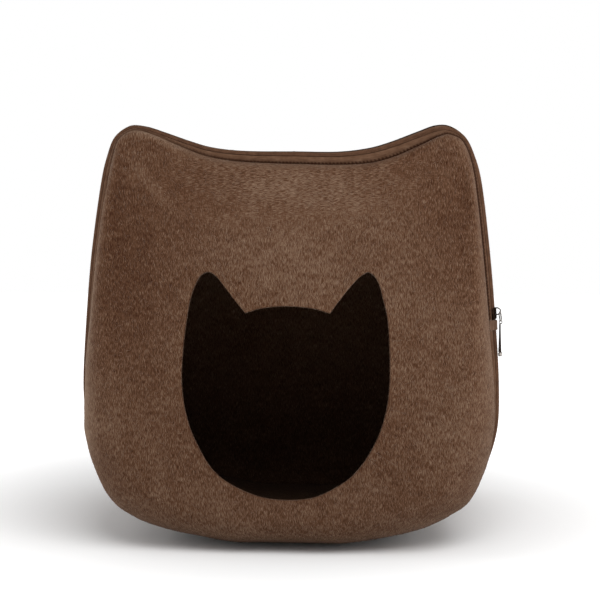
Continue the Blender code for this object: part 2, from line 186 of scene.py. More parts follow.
def outlineDepth(s, y):
    # the outline at the depth y: it shrinks a little towards the back, and stays on the floor
    share = np.clip((y - cave["zipY"]) / (cave["backY"] - cave["zipY"]), 0, 1)
    scale = 1 - (1 - cave["backScale"]) * np.broadcast_to(share, len(s["outline"]))
    return inSpace(s["outline"] * scale[:, None], y)


zipSizes = {
    "tape": 1.0,
    "tapeSink": 1.3,  # under the felt's outer face
    "tapeCrown": 0.55,
    "rearGap": 0.7,  # from the rear tape to the wall
    "coilBack": 7.5,  # from the front's seam back to the middle of the coil
    "slot": 15.5,  # from the front's seam back to the wall's
    "coilWidth": 4.6,
    "coilHeight": 2.4,
    "sliderZ": 227.0,
    "tabZ": 215.8,
    "tabLength": 9.5,
}


def squared(out, across):
    return unit(out - across * (out * across).sum(axis=1, keepdims=True))


def zipLines(place):
    s = sectionsAt(place)
    seam, seamY = frontSeam(s)
    across = s["across"]
    sunk = across * zipSizes["tapeSink"]
    lines = {
        "seam": inSpace(seam, seamY),
        "inward": inSpace(across, 0.0),
        "front": inSpace(seam + sunk, seamY + cave["gap"]),
        "coil": inSpace(s["outline"] + across * s["coil"][:, None], seamY + zipSizes["coilBack"]),
        "rear": outlineDepth(s, seamY + zipSizes["slot"] - zipSizes["rearGap"]) + inSpace(sunk, 0.0),
        "out": inSpace(-across, 0.0),
    }
    lines["across"] = unit(lines["rear"] - lines["front"])
    lines["up"] = squared(lines["out"], lines["across"])
    return lines


def placeAt(height):
    return float(np.interp(height, column("zRight")[1 : earRow + 1], range(1, earRow + 1)))


def evenPlaces(start, end, spacing, edge="coil"):
    # places along the zip from start, up over the top and round to end from below, evenly far apart
    fine = np.linspace(start, end + 2 * lastRow, 6000)
    points = zipLines(fine)[edge]
    run = np.concatenate([[0.0], np.cumsum(np.linalg.norm(np.diff(points, axis=0), axis=1))])
    count = int(run[-1] / spacing) + 1
    return np.interp(np.linspace(0, run[-1], count), run, fine), np.linspace(0, run[-1], count)


# Making meshes

def makePiece(name, points, faces, material, uv=None, marks=None):
    mesh = bpy.data.meshes.new(name)
    mesh.from_pydata((np.asarray(points) * mm).tolist(), [], faces)
    if uv is not None:
        layer = mesh.uv_layers.new(name="clothFlat")
        layer.data.foreach_set("uv", (np.asarray(uv, np.float32) * mm).ravel())
    for mark, values in (marks or {}).items():
        attribute = mesh.attributes.new(mark, "FLOAT", "POINT")
        attribute.data.foreach_set("value", np.asarray(values, np.float32).ravel())
    shape = bmesh.new()
    shape.from_mesh(mesh)
    bmesh.ops.recalc_face_normals(shape, faces=shape.faces)
    shape.to_mesh(mesh)
    shape.free()
    mesh.materials.append(material)
    mesh.shade_smooth()
    mesh.set_sharp_from_angle(angle=math.radians(50))
    piece = bpy.data.objects.new(name, mesh)
    bpy.context.scene.collection.objects.link(piece)
    return piece


def gridFaces(index, wrap):
    # quads of a grid of point numbers, and with wrap round to its first column again
    if wrap:
        index = np.column_stack([index, index[:, 0]])
    corners = (index[:-1, :-1], index[:-1, 1:], index[1:, 1:], index[1:, :-1])
    return np.stack(corners, axis=-1).reshape(-1, 4)


def gridFlat(flat):
    corners = (flat[:-1, :-1], flat[:-1, 1:], flat[1:, 1:], flat[1:, :-1])
    return np.stack(corners, axis=2).reshape(-1, 4, 2)


def tubes(paths, radii, sides, upward=(0, 0, 1)):
    # closed tubes, one along each path, and their points and faces. Radii are one a point.
    paths = np.asarray(paths, float)
    count, rings = paths.shape[:2]
    along = unit(np.gradient(paths, axis=1))
    guide = np.broadcast_to(np.asarray(upward, float), (count, 3))[:, None, :]
    sideways = unit(np.cross(along, guide) + 1e-9)
    lift = np.cross(sideways, along)
    radii = np.broadcast_to(radii, (count, rings))[..., None, None]
    turn = np.arange(sides) * 2 * math.pi / sides
    ring = sideways[:, :, None] * np.cos(turn)[:, None] + lift[:, :, None] * np.sin(turn)[:, None]
    points = (paths[:, :, None] + ring * radii).reshape(-1, 3)
    first = np.arange(count)[:, None] * rings * sides
    index = np.arange(rings * sides).reshape(rings, sides)
    quads = gridFaces(index, True)
    sideFaces = (first[:, :, None] + quads[None]).reshape(-1, 4)
    caps = np.stack([index[0][::-1], index[-1]])
    capFaces = (first[:, :, None] + caps[None]).reshape(-1, sides)
    return points, sideFaces.tolist() + capFaces.tolist()


def closedTube(path, radius, sides, upward):
    # a ring of wire that runs back into itself
    path = np.asarray(path, float)
    along = unit(np.roll(path, -1, axis=0) - np.roll(path, 1, axis=0))
    sideways = unit(np.cross(along, np.asarray(upward, float)))
    lift = np.cross(sideways, along)
    turn = np.arange(sides) * 2 * math.pi / sides
    ring = sideways[:, None] * np.cos(turn)[:, None] + lift[:, None] * np.sin(turn)[:, None]
    points = (path[:, None] + ring * radius).reshape(-1, 3)
    index = np.arange(len(points)).reshape(len(path), sides)
    index = np.vstack([index, index[:1]])
    return points, gridFaces(index, True).tolist()


def joined(parts):
    # several lots of points and faces as one
    points, faces, start = [], [], 0
    for partPoints, partFaces in parts:
        points.append(partPoints)
        faces += [[number + start for number in face] for face in partFaces]
        start += len(partPoints)
    return np.vstack(points), faces


def readAlong(rows, distances):
    # each column of rows, read at distances along it
    steps = np.linalg.norm(np.diff(rows, axis=0), axis=2)
    run = np.vstack([np.zeros(rows.shape[1]), np.cumsum(steps, axis=0)])
    read = np.empty((len(distances),) + rows.shape[1:])
    for one in range(rows.shape[1]):
        for axis in range(3):
            read[:, one, axis] = np.interp(distances[:, one], run[:, one], rows[:, one, axis])
    return read


def totalRun(rows):
    return np.linalg.norm(np.diff(rows, axis=0), axis=2).sum(axis=0)


def rowDistances(total, nearSteps, farSteps, count):
    # fine steps beside the cut edges and even ones between
    near = np.array(nearSteps)[:, None] * np.ones(len(total))
    far = total - np.array(farSteps)[::-1, None]
    between = np.linspace(0, 1, count + 2)[1:-1, None]
    return np.vstack([near, near[-1] + (far[0] - near[-1]) * between, far])


def roundedEdge(distance, radius):
    # how far a cut edge's corner is worn back, at a distance from the edge
    short = np.clip(radius - distance, 0, radius)
    return radius - np.sqrt(radius**2 - short**2)


def bumpy(points, size, seed):
    # soft noise over points, from -1 to 1, with lumps about as wide as size
    shift = Vector((seed * 7.1, seed * 3.3, seed * 5.7))
    found = [noise.noise(Vector(point) / size + shift) for point in points.reshape(-1, 3).tolist()]
    return np.array(found).reshape(points.shape[:-1])


def outward(outer):
    along = np.roll(outer, -1, axis=1) - np.roll(outer, 1, axis=1)
    return unit(np.cross(along, np.gradient(outer, axis=0)))


def edgeRun(points):
    # the length run along a closed row of points, back at its first point in the end
    closed = np.vstack([points, points[:1]])
    return np.concatenate([[0.0], np.cumsum(np.linalg.norm(np.diff(closed, axis=0), axis=1))])


def feltPiece(name, outer, base, out, flat, inside, material, marks, tip=None):
    # outer is the worn, wavy face; base is the plain one that the inner face is set back from.
    # inside lists the rows that the inner face keeps. flat holds a column more, for the way round.
    # marks are numbers for the material, one at each of the outer face's points.
    felt = cave["felt"]
    inner = base[inside] - out[inside] * felt
    rows, count = outer.shape[:2]
    outerIndex = np.arange(rows * count).reshape(rows, count)
    innerIndex = rows * count + np.arange(len(inside) * count).reshape(-1, count)
    points = np.vstack([outer.reshape(-1, 3), inner.reshape(-1, 3)])
    # the inner face and the cut edges have their own parts of the cloth's pattern
    away, edgeAway = np.array([1000.0, 300.0]), -700.0
    faces = [gridFaces(outerIndex, True), gridFaces(innerIndex, True)[:, ::-1]]
    uv = [gridFlat(flat), gridFlat(flat[inside] + away)[:, ::-1]]
    ends = [-1] if tip is not None else [0, -1]
    for end in ends:
        run = edgeRun(outer[end])
        faces.append(gridFaces(np.stack([outerIndex[end], innerIndex[end]]), True))
        cutEdge = [np.column_stack([run, run * 0 + reach]) for reach in (edgeAway, edgeAway + felt)]
        uv.append(gridFlat(np.stack(cutEdge)))
    faces = np.vstack(faces).tolist()
    uv = list(np.vstack(uv).reshape(-1, 2))
    if tip is not None:
        points = np.vstack([points, tip, tip - np.array([0, felt, 0])])
        last = len(points) - 1
        for ring, number, spot in ((outerIndex[0], last - 1, (0, 0)), (innerIndex[0], last, away)):
            middle = flat[0, :-1].mean(axis=0) + spot
            for i in range(count):
                faces.append([int(ring[i]), int(ring[(i + 1) % count]), number])
                uv += [flat[0, i] + spot, flat[0, i + 1] + spot, middle]
    marked = {}
    for mark, values in marks.items():
        tips = [values[0].mean()] * (2 if tip is not None else 0)
        marked[mark] = np.concatenate([values.ravel(), values[inside].ravel(), tips])
    return makePiece(name, points, faces, material, uv=np.array(uv), marks=marked)


# Materials

def newMaterial(name, **values):
    material = bpy.data.materials.new(name)
    material.use_nodes = True
    shader = material.node_tree.nodes["Principled BSDF"]
    for socket, value in values.items():
        shader.inputs[socket.replace("_", " ")].default_value = value
    return material, material.node_tree, shader


def addNode(tree, kind, links=None, **values):
    # a node with its own settings, its sockets' values and what is linked into them
    node = tree.nodes.new("ShaderNode" + kind)
    for name, value in values.items():
        if hasattr(node, name):
            setattr(node, name, value)
        else:
            node.inputs[name.replace("_", " ")].default_value = value
    for socket, source in (links or {}).items():
        tree.links.new(source, node.inputs[socket])
    return node


def calc(tree, operation, first, second=0.0, third=None):
    # one sum, where each of its terms is a number or another node's output
    node = tree.nodes.new("ShaderNodeMath")
    node.operation = operation
    for number, term in enumerate((first, second, third)):
        if term is None:
            continue
        if isinstance(term, (int, float)):
            node.inputs[number].default_value = term
        else:
            tree.links.new(term, node.inputs[number])
    return node.outputs[0]


def noiseAt(tree, vector, size, detail=3.0, roughness=0.55, stretch=None, angle=0.0, shift=0.0):
    # noise whose lumps are about size millimetres across, and longer along one way if stretched
    if stretch or angle or shift:
        mapping = addNode(tree, "Mapping", {"Vector": vector}, vector_type="TEXTURE")
        mapping.inputs["Location"].default_value = (shift, shift * 0.37, 0)
        mapping.inputs["Rotation"].default_value = (0, 0, math.radians(angle))
        mapping.inputs["Scale"].default_value = (stretch or 1.0, 1.0, 1.0)
        vector = mapping.outputs[0]
    scale = 1 / (size * mm)
    made = addNode(tree, "TexNoise", {"Vector": vector}, Scale=scale, Detail=detail, Roughness=roughness)
    return made.outputs["Fac"]


def ranged(tree, value, low, high, toLow=0.0, toHigh=1.0):
    node = addNode(tree, "MapRange", {"Value": value})
    for socket, number in (("From Min", low), ("From Max", high), ("To Min", toLow), ("To Max", toHigh)):
        node.inputs[socket].default_value = number
    return node.outputs["Result"]


def rampOf(tree, value, stops):
    ramp = addNode(tree, "ValToRGB", {"Fac": value})
    while len(ramp.color_ramp.elements) < len(stops):
        ramp.color_ramp.elements.new(0.5)
    for element, (position, colour) in zip(ramp.color_ramp.elements, stops):
        element.position = position
        element.color = (*colour, 1.0)
    return ramp.outputs["Color"]


def bumpFrom(tree, shader, height, strength, distance):
    bump = addNode(tree, "Bump", {"Height": height}, Strength=strength, Distance=distance * mm)
    tree.links.new(bump.outputs["Normal"], shader.inputs["Normal"])


def paintSeamShade(tree, colour, dark):
    # the colour, and the dark painted shade where the piece's seam shade mark is 1
    mixed = addNode(tree, "Mix", data_type="RGBA")
    tree.links.new(addNode(tree, "Attribute", attribute_name="paintedSeamShade").outputs["Fac"], mixed.inputs["Factor"])
    tree.links.new(colour, mixed.inputs[6])
    mixed.inputs[7].default_value = (*dark, 1.0)
    return mixed.outputs[2]


feltLook = {
    "deep": (0.029, 0.009, 0.0032),
    "brown": (0.077, 0.034, 0.0162),
    "pale": (0.185, 0.12, 0.081),
    "seam": (0.010, 0.004, 0.002),  # painted shade in the groove beside the zip
    "cloud": 75.0,  # mm, the soft light and dark clouds
    "patch": 14.0,
    "marl": 2.6,
    "strand": 0.5,  # mm, across a strand
    "strandStretch": 10.0,
    "wander": 7.0,  # the strands curl over about this length, by up to half of curl
    "curl": 3.0,
    "upAngles": (78.0, 92.0, 106.0),  # the lay of most strands, in degrees
    "flatAngles": (-7.0, 9.0),
    "cloudMuch": 0.3,  # how strongly each of them shows
    "patchMuch": 0.4,
    "marlMuch": 0.5,
    "strandMuch": 2.1,
    "roughness": 0.93,
    "sheen": 0.06,
    "bump": 0.6,
}


def feltMaterial(name, look):
    material, tree, shader = newMaterial(
        name,
        Roughness=look["roughness"],
        Sheen_Weight=look["sheen"],
        Sheen_Roughness=0.45,
        Sheen_Tint=(0.85, 0.65, 0.5, 1.0),
        Specular_IOR_Level=0.1,
    )
    flat = addNode(tree, "UVMap", uv_map="clothFlat").outputs["UV"]
    # the coordinates wander a little, so that the strands curl
    wander = addNode(tree, "TexNoise", {"Vector": flat}, Scale=1 / (look["wander"] * mm), Detail=2.0)
    wandered = addNode(tree, "VectorMath", {0: wander.outputs["Color"]}, operation="SUBTRACT")
    wandered.inputs[1].default_value = (0.5, 0.5, 0.5)
    curled = addNode(tree, "VectorMath", {0: wandered.outputs[0], 2: flat}, operation="MULTIPLY_ADD")
    curled.inputs[1].default_value = (look["curl"] * mm, look["curl"] * mm, 0.0)
    curled = curled.outputs[0]
    cloud = noiseAt(tree, flat, look["cloud"], 4.0, 0.5)
    patch = noiseAt(tree, flat, look["patch"], 4.0, 0.6)
    marl = noiseAt(tree, curled, look["marl"], 4.0, 0.7)
    sets = []
    for angles, shift in ((look["upAngles"], 0.11), (look["flatAngles"], 0.73)):
        total = 0.0
        for number, angle in enumerate(angles):
            place = shift * (number + 1)
            lay = noiseAt(tree, curled, look["strand"], 2.0, 0.5, look["strandStretch"], angle, place)
            total = calc(tree, "ADD", calc(tree, "SUBTRACT", lay, 0.5), total)
        sets.append(calc(tree, "MULTIPLY", total, 1 / math.sqrt(len(angles))))
    # most strands run upwards, and "lay" marks where they run across
    turned = addNode(tree, "Attribute", attribute_name="lay").outputs["Fac"]
    turned = calc(tree, "MULTIPLY_ADD", calc(tree, "SUBTRACT", patch, 0.5), 1.0, turned)
    turned = ranged(tree, turned, 0.3, 0.7)
    upward = calc(tree, "MULTIPLY", calc(tree, "SUBTRACT", 1.0, turned), sets[0])
    strands = calc(tree, "MULTIPLY_ADD", turned, sets[1], upward)
    # painted light and shade: paler where light falls on the front, darker where shade falls
    paintedLightShade = addNode(tree, "Attribute", attribute_name="paintedLightShade").outputs["Fac"]
    tone = calc(tree, "ADD", paintedLightShade, 0.5)
    for part, much in ((cloud, "cloudMuch"), (patch, "patchMuch"), (marl, "marlMuch")):
        tone = calc(tree, "MULTIPLY_ADD", calc(tree, "SUBTRACT", part, 0.5), look[much], tone)
    tone = calc(tree, "MULTIPLY_ADD", strands, look["strandMuch"], tone)
    colour = rampOf(tree, tone, ((0.1, look["deep"]), (0.5, look["brown"]), (0.95, look["pale"])))
    tree.links.new(paintSeamShade(tree, colour, look["seam"]), shader.inputs["Base Color"])
    height = calc(tree, "MULTIPLY_ADD", marl, 0.8, strands)
    bumpFrom(tree, shader, height, look["bump"], 0.9)
    return material


fuzzLook = {"dark": (0.06, 0.03, 0.018), "light": (0.26, 0.18, 0.13), "roughness": 0.8}


def fuzzMaterial(name, look):
    values = {"Roughness": look["roughness"], "Specular_IOR_Level": 0.2, "Sheen_Weight": 0.2}
    material, tree, shader = newMaterial(name, **values)
    tone = addNode(tree, "Attribute", attribute_name="tone").outputs["Fac"]
    colour = rampOf(tree, tone, ((0.0, look["dark"]), (1.0, look["light"])))
    tree.links.new(colour, shader.inputs["Base Color"])
    return material


tapeLook = {
    "deep": (0.05, 0.0235, 0.0125),
    "brown": (0.104, 0.0535, 0.0305),
    "pale": (0.19, 0.115, 0.074),
    # seam: painted shade in the groove beside the felt and beside the coil
    "seam": (0.019, 0.0058, 0.0018),
    "ribPitch": 0.9,
    "warpPitch": 0.62,
    "roughness": 0.85,
    "sheen": 0.02,
}
threadLook = {**tapeLook, "brown": (0.032, 0.014, 0.008), "pale": (0.07, 0.036, 0.022)}
tabLook = {
    **tapeLook,
    "deep": (0.055, 0.028, 0.017),
    "brown": (0.098, 0.055, 0.034),
    "pale": (0.21, 0.14, 0.1),
    "ribPitch": 1.2,
}


def tapeMaterial(name, look):
    # woven tape: warp threads run along it, and finer weft ribs cross it
    material, tree, shader = newMaterial(
        name,
        Roughness=look["roughness"],
        Sheen_Weight=look["sheen"],
        Sheen_Roughness=0.4,
        Specular_IOR_Level=0.06,
    )
    flat = addNode(tree, "UVMap", uv_map="clothFlat").outputs["UV"]
    split = addNode(tree, "SeparateXYZ", {"Vector": flat})
    turn = 2 * math.pi / mm
    ribs = calc(tree, "SINE", calc(tree, "MULTIPLY", split.outputs[0], turn / look["ribPitch"]))
    warp = calc(tree, "SINE", calc(tree, "MULTIPLY", split.outputs[1], turn / look["warpPitch"]))
    weave = calc(tree, "MULTIPLY", ribs, warp)
    wear = noiseAt(tree, flat, 9.0, 4.0, 0.6)
    slub = noiseAt(tree, flat, 0.9, 2.0, 0.5, 9.0)
    tone = calc(tree, "MULTIPLY_ADD", calc(tree, "SUBTRACT", wear, 0.5), 0.7, 0.5)
    tone = calc(tree, "MULTIPLY_ADD", calc(tree, "SUBTRACT", slub, 0.5), 0.7, tone)
    tone = calc(tree, "MULTIPLY_ADD", weave, 0.07, tone)
    colour = rampOf(tree, tone, ((0.15, look["deep"]), (0.5, look["brown"]), (0.9, look["pale"])))
    tree.links.new(paintSeamShade(tree, colour, look["seam"]), shader.inputs["Base Color"])
    bumpFrom(tree, shader, calc(tree, "MULTIPLY_ADD", weave, 0.5, slub), 0.5, 0.12)
    return material


coilLook = {"colour": (0.074, 0.034, 0.018), "worn": (0.13, 0.066, 0.038), "roughness": 0.7}


def coilMaterial(name, look):
    material, tree, shader = newMaterial(name, Specular_IOR_Level=0.08)
    place = addNode(tree, "TexCoord").outputs["Object"]
    wear = noiseAt(tree, place, 6.0, 3.0, 0.6)
    colour = rampOf(tree, wear, ((0.3, look["colour"]), (0.75, look["worn"])))
    tree.links.new(colour, shader.inputs["Base Color"])
    worn = ranged(tree, wear, 0.3, 0.7, look["roughness"] - 0.08, look["roughness"] + 0.12)
    tree.links.new(worn, shader.inputs["Roughness"])
    return material


# each metal's colour where it is clean and where it is tarnished, and its roughness
metalLook = {
    "plated": {"light": (0.3, 0.28, 0.265), "shade": (0.08, 0.068, 0.06), "roughness": 0.16},
    "brown": {"light": (0.05, 0.026, 0.016), "shade": (0.02, 0.01, 0.006), "roughness": 0.5},
    "dark": {"light": (0.028, 0.02, 0.018), "shade": (0.012, 0.008, 0.007), "roughness": 0.45},
}
metalEdgeReflection = (0.02, 0.014, 0.011)  # painted dark reflection, for all of them where seen edge on


def metalMaterial(name, light, shade, roughness):
    material, tree, shader = newMaterial(name, Metallic=1.0, Specular_Tint=(0.3, 0.26, 0.23, 1.0))
    place = addNode(tree, "TexCoord").outputs["Object"]
    tarnish = noiseAt(tree, place, 2.4, 4.0, 0.6)
    scratch = noiseAt(tree, place, 0.25, 2.0, 0.6, 14.0, 20.0)
    colour = rampOf(tree, tarnish, ((0.35, shade), (0.6, light)))
    # painted reflection: a round wire darkens towards its sides, as if it reflected dark surroundings
    aside = addNode(tree, "LayerWeight", Blend=0.5).outputs["Facing"]
    mixed = addNode(tree, "Mix", data_type="RGBA")
    tree.links.new(ranged(tree, aside, 0.2, 0.65), mixed.inputs["Factor"])
    tree.links.new(colour, mixed.inputs[6])
    mixed.inputs[7].default_value = (*metalEdgeReflection, 1.0)
    tree.links.new(mixed.outputs[2], shader.inputs["Base Color"])
    tree.links.new(ranged(tree, scratch, 0.35, 0.75, roughness, roughness + 0.2), shader.inputs["Roughness"])
    bumpFrom(tree, shader, scratch, 0.12, 0.03)
    return material


materials = {
    "felt": feltMaterial("brownFelt", feltLook),
    "fuzz": fuzzMaterial("feltFibre", fuzzLook),
    "tape": tapeMaterial("zipTapeCloth", tapeLook),
    "thread": tapeMaterial("seamThread", threadLook),
    "coil": coilMaterial("coilNylon", coilLook),
    "tab": tapeMaterial("tabCloth", tabLook),
    "chrome": metalMaterial("platedMetal", **metalLook["plated"]),
    "brownMetal": metalMaterial("brownPlatedMetal", **metalLook["brown"]),
    "darkMetal": metalMaterial("darkPlatedMetal", **metalLook["dark"]),
}
print("materials:", len(materials))

# Felt

feltShape = {
    "columnsPerRow": 16,
    "seamRound": 1.3,  # the rounding of the front's edge beside the tape
    "doorRound": 0.9,
    "wave": 0.9,  # slow waves, over about waveSize
    "waveSize": 62.0,
    "lump": 0.28,
    "lumpSize": 17.0,
    "grain": 0.12,
    "grainSize": 6.0,
    "calm": 14.0,  # the waves die away over this width beside the seams
    "paintedSeamShade": 1.3,  # how wide the painted shade in the groove beside the zip is
    "plainLay": 0.15,
}
# soft spots on the front: the middle, the half width and height, the turn in degrees and how much.
# frontHollows are millimetres deep. The painted light and shade spots are paler above 0 and darker below it:
# painted light on the top and the lower side edges, painted shade on the left and in the ears' hollows.
frontHollows = (
    {"x": -166, "z": 352, "wide": 9, "high": 42, "turn": 8, "much": 2.2},
    {"x": -128, "z": 330, "wide": 14, "high": 40, "turn": 35, "much": 1.6},
    {"x": 165, "z": 350, "wide": 9, "high": 40, "turn": -8, "much": 2.2},
    {"x": 60, "z": 330, "wide": 60, "high": 16, "turn": 6, "much": 1.4},
    {"x": -150, "z": 200, "wide": 26, "high": 90, "turn": 4, "much": 1.6},
)
frontPaintedLightShade = (
    {"x": 15, "z": 345, "wide": 85, "high": 28, "turn": 0, "much": 0.12},
    {"x": 20, "z": 270, "wide": 75, "high": 60, "turn": 0, "much": 0.1},
    {"x": -145, "z": 270, "wide": 45, "high": 80, "turn": 4, "much": -0.17},
    {"x": 150, "z": 320, "wide": 30, "high": 50, "turn": 0, "much": -0.11},
    {"x": -193, "z": 118, "wide": 13, "high": 62, "turn": 3, "much": 0.2},
    {"x": 162, "z": 160, "wide": 32, "high": 120, "turn": -4, "much": 0.05},
    {"x": -159, "z": 345, "wide": 7, "high": 34, "turn": -9, "much": -0.1},
    {"x": -131, "z": 349, "wide": 7, "high": 28, "turn": 38, "much": 0.14},
    {"x": 165, "z": 345, "wide": 8, "high": 34, "turn": 8, "much": -0.1},
    {"x": 0, "z": 20, "wide": 120, "high": 26, "turn": 0, "much": 0.05},
)
# painted highlight: how much paler the front is beside its seam, where its rolled edge catches the light, at
# the rows of the sections table
frontRimHighlights = {
    "rows": (3, 5, 6, 7, 9, 10, 11, 13, 14, 15, 16, 17, 20),
    "left": (0.02, 0.12, 0.25, 0.42, 0.45, 0.36, 0.2, 0.1, 0.2, 0.3, 0.32, 0.12, 0.0),
    "right": (0.06, 0.04, 0.12, 0.14, 0.14, 0.12, 0.08, 0.06, 0.05, 0.0, -0.03, -0.03, 0.0),
    "leftWide": 6.5,
    "rightWide": 11.0,
}
# where the strands run across instead of up
crossLay = (
    {"x": 5, "z": 356, "wide": 85, "high": 26, "turn": 0, "much": 1.1},
    {"x": 0, "z": 335, "wide": 230, "high": 70, "turn": 0, "much": 0.42},
)


def waves(points, seed):
    shape = feltShape
    found = bumpy(points, shape["waveSize"], seed) * shape["wave"] * 1.6
    found += bumpy(points, shape["lumpSize"], seed + 1) * shape["lump"] * 1.6
    return found + bumpy(points, shape["grainSize"], seed + 2) * shape["grain"] * 1.6


def spots(points, table):
    found = np.zeros(points.shape[:-1])
    for one in table:
        turn = math.radians(one["turn"])
        x, z = points[..., 0] - one["x"], points[..., 2] - one["z"]
        u = (x * math.cos(turn) + z * math.sin(turn)) / one["wide"]
        v = (z * math.cos(turn) - x * math.sin(turn)) / one["high"]
        found += one["much"] * np.exp(-(u * u + v * v))
    return found


def bySide(places, table):
    # a table's value at each place, from its left or its right column
    onRight = places <= lastRow
    at = np.where(onRight, places, 2 * lastRow - places)
    right, left = (np.interp(at, table["rows"], table[side]) for side in ("right", "left"))
    return np.where(onRight, right, left)


def rimHighlightsAt(places, distance):
    # a painted highlight along the front's rolled edge beside the seam
    wide = np.where(places <= lastRow, frontRimHighlights["rightWide"], frontRimHighlights["leftWide"])
    return bySide(places, frontRimHighlights) * np.exp(-((distance / wide) ** 2))


def seamMark(distance, width):
    # 1 in the groove at a seam, and 0 from width on
    return 1 - smooth(distance / width)


def ringPlaces():
    return np.arange(0, 2 * lastRow, 1 / feltShape["columnsPerRow"])


def frontProfile(s):
    # finely cut rows from the seam over the rolled edge and in to the doorway
    seam, seamY = frontSeam(s)
    toDoor = unit(s["door"] - seam)
    start = seam + toDoor * s["roll"][:, None]
    rows = []
    for turn in np.linspace(0, math.pi / 2, 80):
        flat = seam + toDoor * (s["roll"] * (1 - math.cos(turn)))[:, None]
        rows.append(inSpace(flat, seamY + (faceY(flat) - seamY) * math.sin(turn)))
    for share in np.linspace(0, 1, 60)[1:]:
        flat = start + (s["door"] - start) * share
        rows.append(inSpace(flat, faceY(flat)))
    return np.array(rows), toDoor


def makeFront():
    s = sectionsAt(ringPlaces())
    fine, toDoor = frontProfile(s)
    total = totalRun(fine)
    edgeSteps = (0.0, 0.15, 0.4, 0.75, 1.3, 2.0, 3.2)
    distance = rowDistances(total, edgeSteps, edgeSteps, 50)
    base = readAlong(fine, distance)
    out = outward(base)
    out[0] = unit(out[0] * (1, 0, 1))
    fromDoor = total - distance
    calm = smooth(distance / feltShape["calm"]) * smooth(fromDoor / feltShape["calm"])
    calm = calm * smooth(base[..., 2] / 30)
    inward = roundedEdge(distance, feltShape["seamRound"]) + roundedEdge(fromDoor, feltShape["doorRound"])
    inward = inward - waves(base, 3) * calm + spots(base, frontHollows) * smooth(distance / 9)
    outer = base - out * inward[..., None]
    outer[..., 2] = np.maximum(outer[..., 2], 0.0)
    flat = s["door"][None] - toDoor[None] * fromDoor[..., None]
    flat = np.concatenate([flat, flat[:, :1]], axis=1)
    rows = len(base)
    inside = [0, 4] + list(range(8, rows - 7, 3)) + [rows - 5, rows - 1]
    fromSeam = ((base - base[0])[..., [0, 2]] * toDoor).sum(axis=2)
    rimHighlight = rimHighlightsAt(ringPlaces(), fromSeam)
    # painted light and shade over the front, painted rim highlights beside the seam, and painted shade at the
    # doorway's cut edge
    marks = {
        "paintedLightShade": spots(base, frontPaintedLightShade) + rimHighlight - 0.12 * seamMark(fromDoor, 1.2),
        "lay": spots(base, crossLay),
        "paintedSeamShade": seamMark(distance, feltShape["paintedSeamShade"]),
    }
    piece = feltPiece("feltFront", outer, base, out, flat, inside, materials["felt"], marks)
    return piece, outer, out


def makeWall():
    s = sectionsAt(ringPlaces())
    front = frontSeam(s)[1] + zipSizes["slot"]
    back = cave["backY"] - cave["backRoll"] - cave["gap"]
    fine = np.array([outlineDepth(s, back + (front - back) * share) for share in np.linspace(0, 1, 80)])
    total = totalRun(fine)
    edgeSteps = (0.0, 0.15, 0.4, 0.75, 1.3, 2.0, 3.2)
    distance = rowDistances(total, edgeSteps, edgeSteps, 34)
    base = readAlong(fine, distance)
    out = outward(base)
    for row in (0, -1):
        out[row] = unit(out[row] * (1, 0, 1))
    fromFront = total - distance
    calm = smooth(distance / feltShape["calm"]) * smooth(fromFront / feltShape["calm"])
    calm = calm * smooth(base[..., 2] / 25)
    inward = roundedEdge(distance, 1.6) + roundedEdge(fromFront, feltShape["seamRound"])
    inward = inward - waves(base, 11) * calm
    outer = base - out * inward[..., None]
    outer[..., 2] = np.maximum(outer[..., 2], 0.0)
    run = edgeRun(base[len(base) // 2])
    closed = np.concatenate([base, base[:, :1]], axis=1)
    flat = np.stack([np.broadcast_to(run, closed.shape[:2]), closed[..., 1]], axis=-1) + (0, 2000)
    rows = len(base)
    inside = [0, 4] + list(range(8, rows - 7, 3)) + [rows - 5, rows - 1]
    # painted shade along the wall's seams
    marks = {
        "paintedLightShade": distance * 0,
        "lay": distance * 0 + feltShape["plainLay"],
        "paintedSeamShade": seamMark(fromFront, feltShape["paintedSeamShade"]) + 0.7 * seamMark(distance, 0.8),
    }
    piece = feltPiece("feltWall", outer, base, out, flat, inside, materials["felt"], marks)
    return piece, outer, out


def backProfile(s):
    middle = np.array([0.0, cave["midHeight"] * cave["backScale"]])
    seam = outlineDepth(s, cave["backY"] - cave["backRoll"])[:, [0, 2]]
    toMiddle = unit(middle - seam)
    start = seam + toMiddle * cave["backRoll"]
    rows = []
    for turn in np.linspace(0, math.pi / 2, 40)[:-1]:
        flat = seam + toMiddle * cave["backRoll"] * (1 - math.cos(turn))
        rows.append(inSpace(flat, cave["backY"] - cave["backRoll"] * (1 - math.sin(turn))))
    for share in np.linspace(0, 0.985, 60):
        dome = cave["backDome"] * (1 - (1 - share) ** 2)
        rows.append(inSpace(start + (middle - start) * share, cave["backY"] + dome))
    return np.array(rows)[::-1], toMiddle, middle


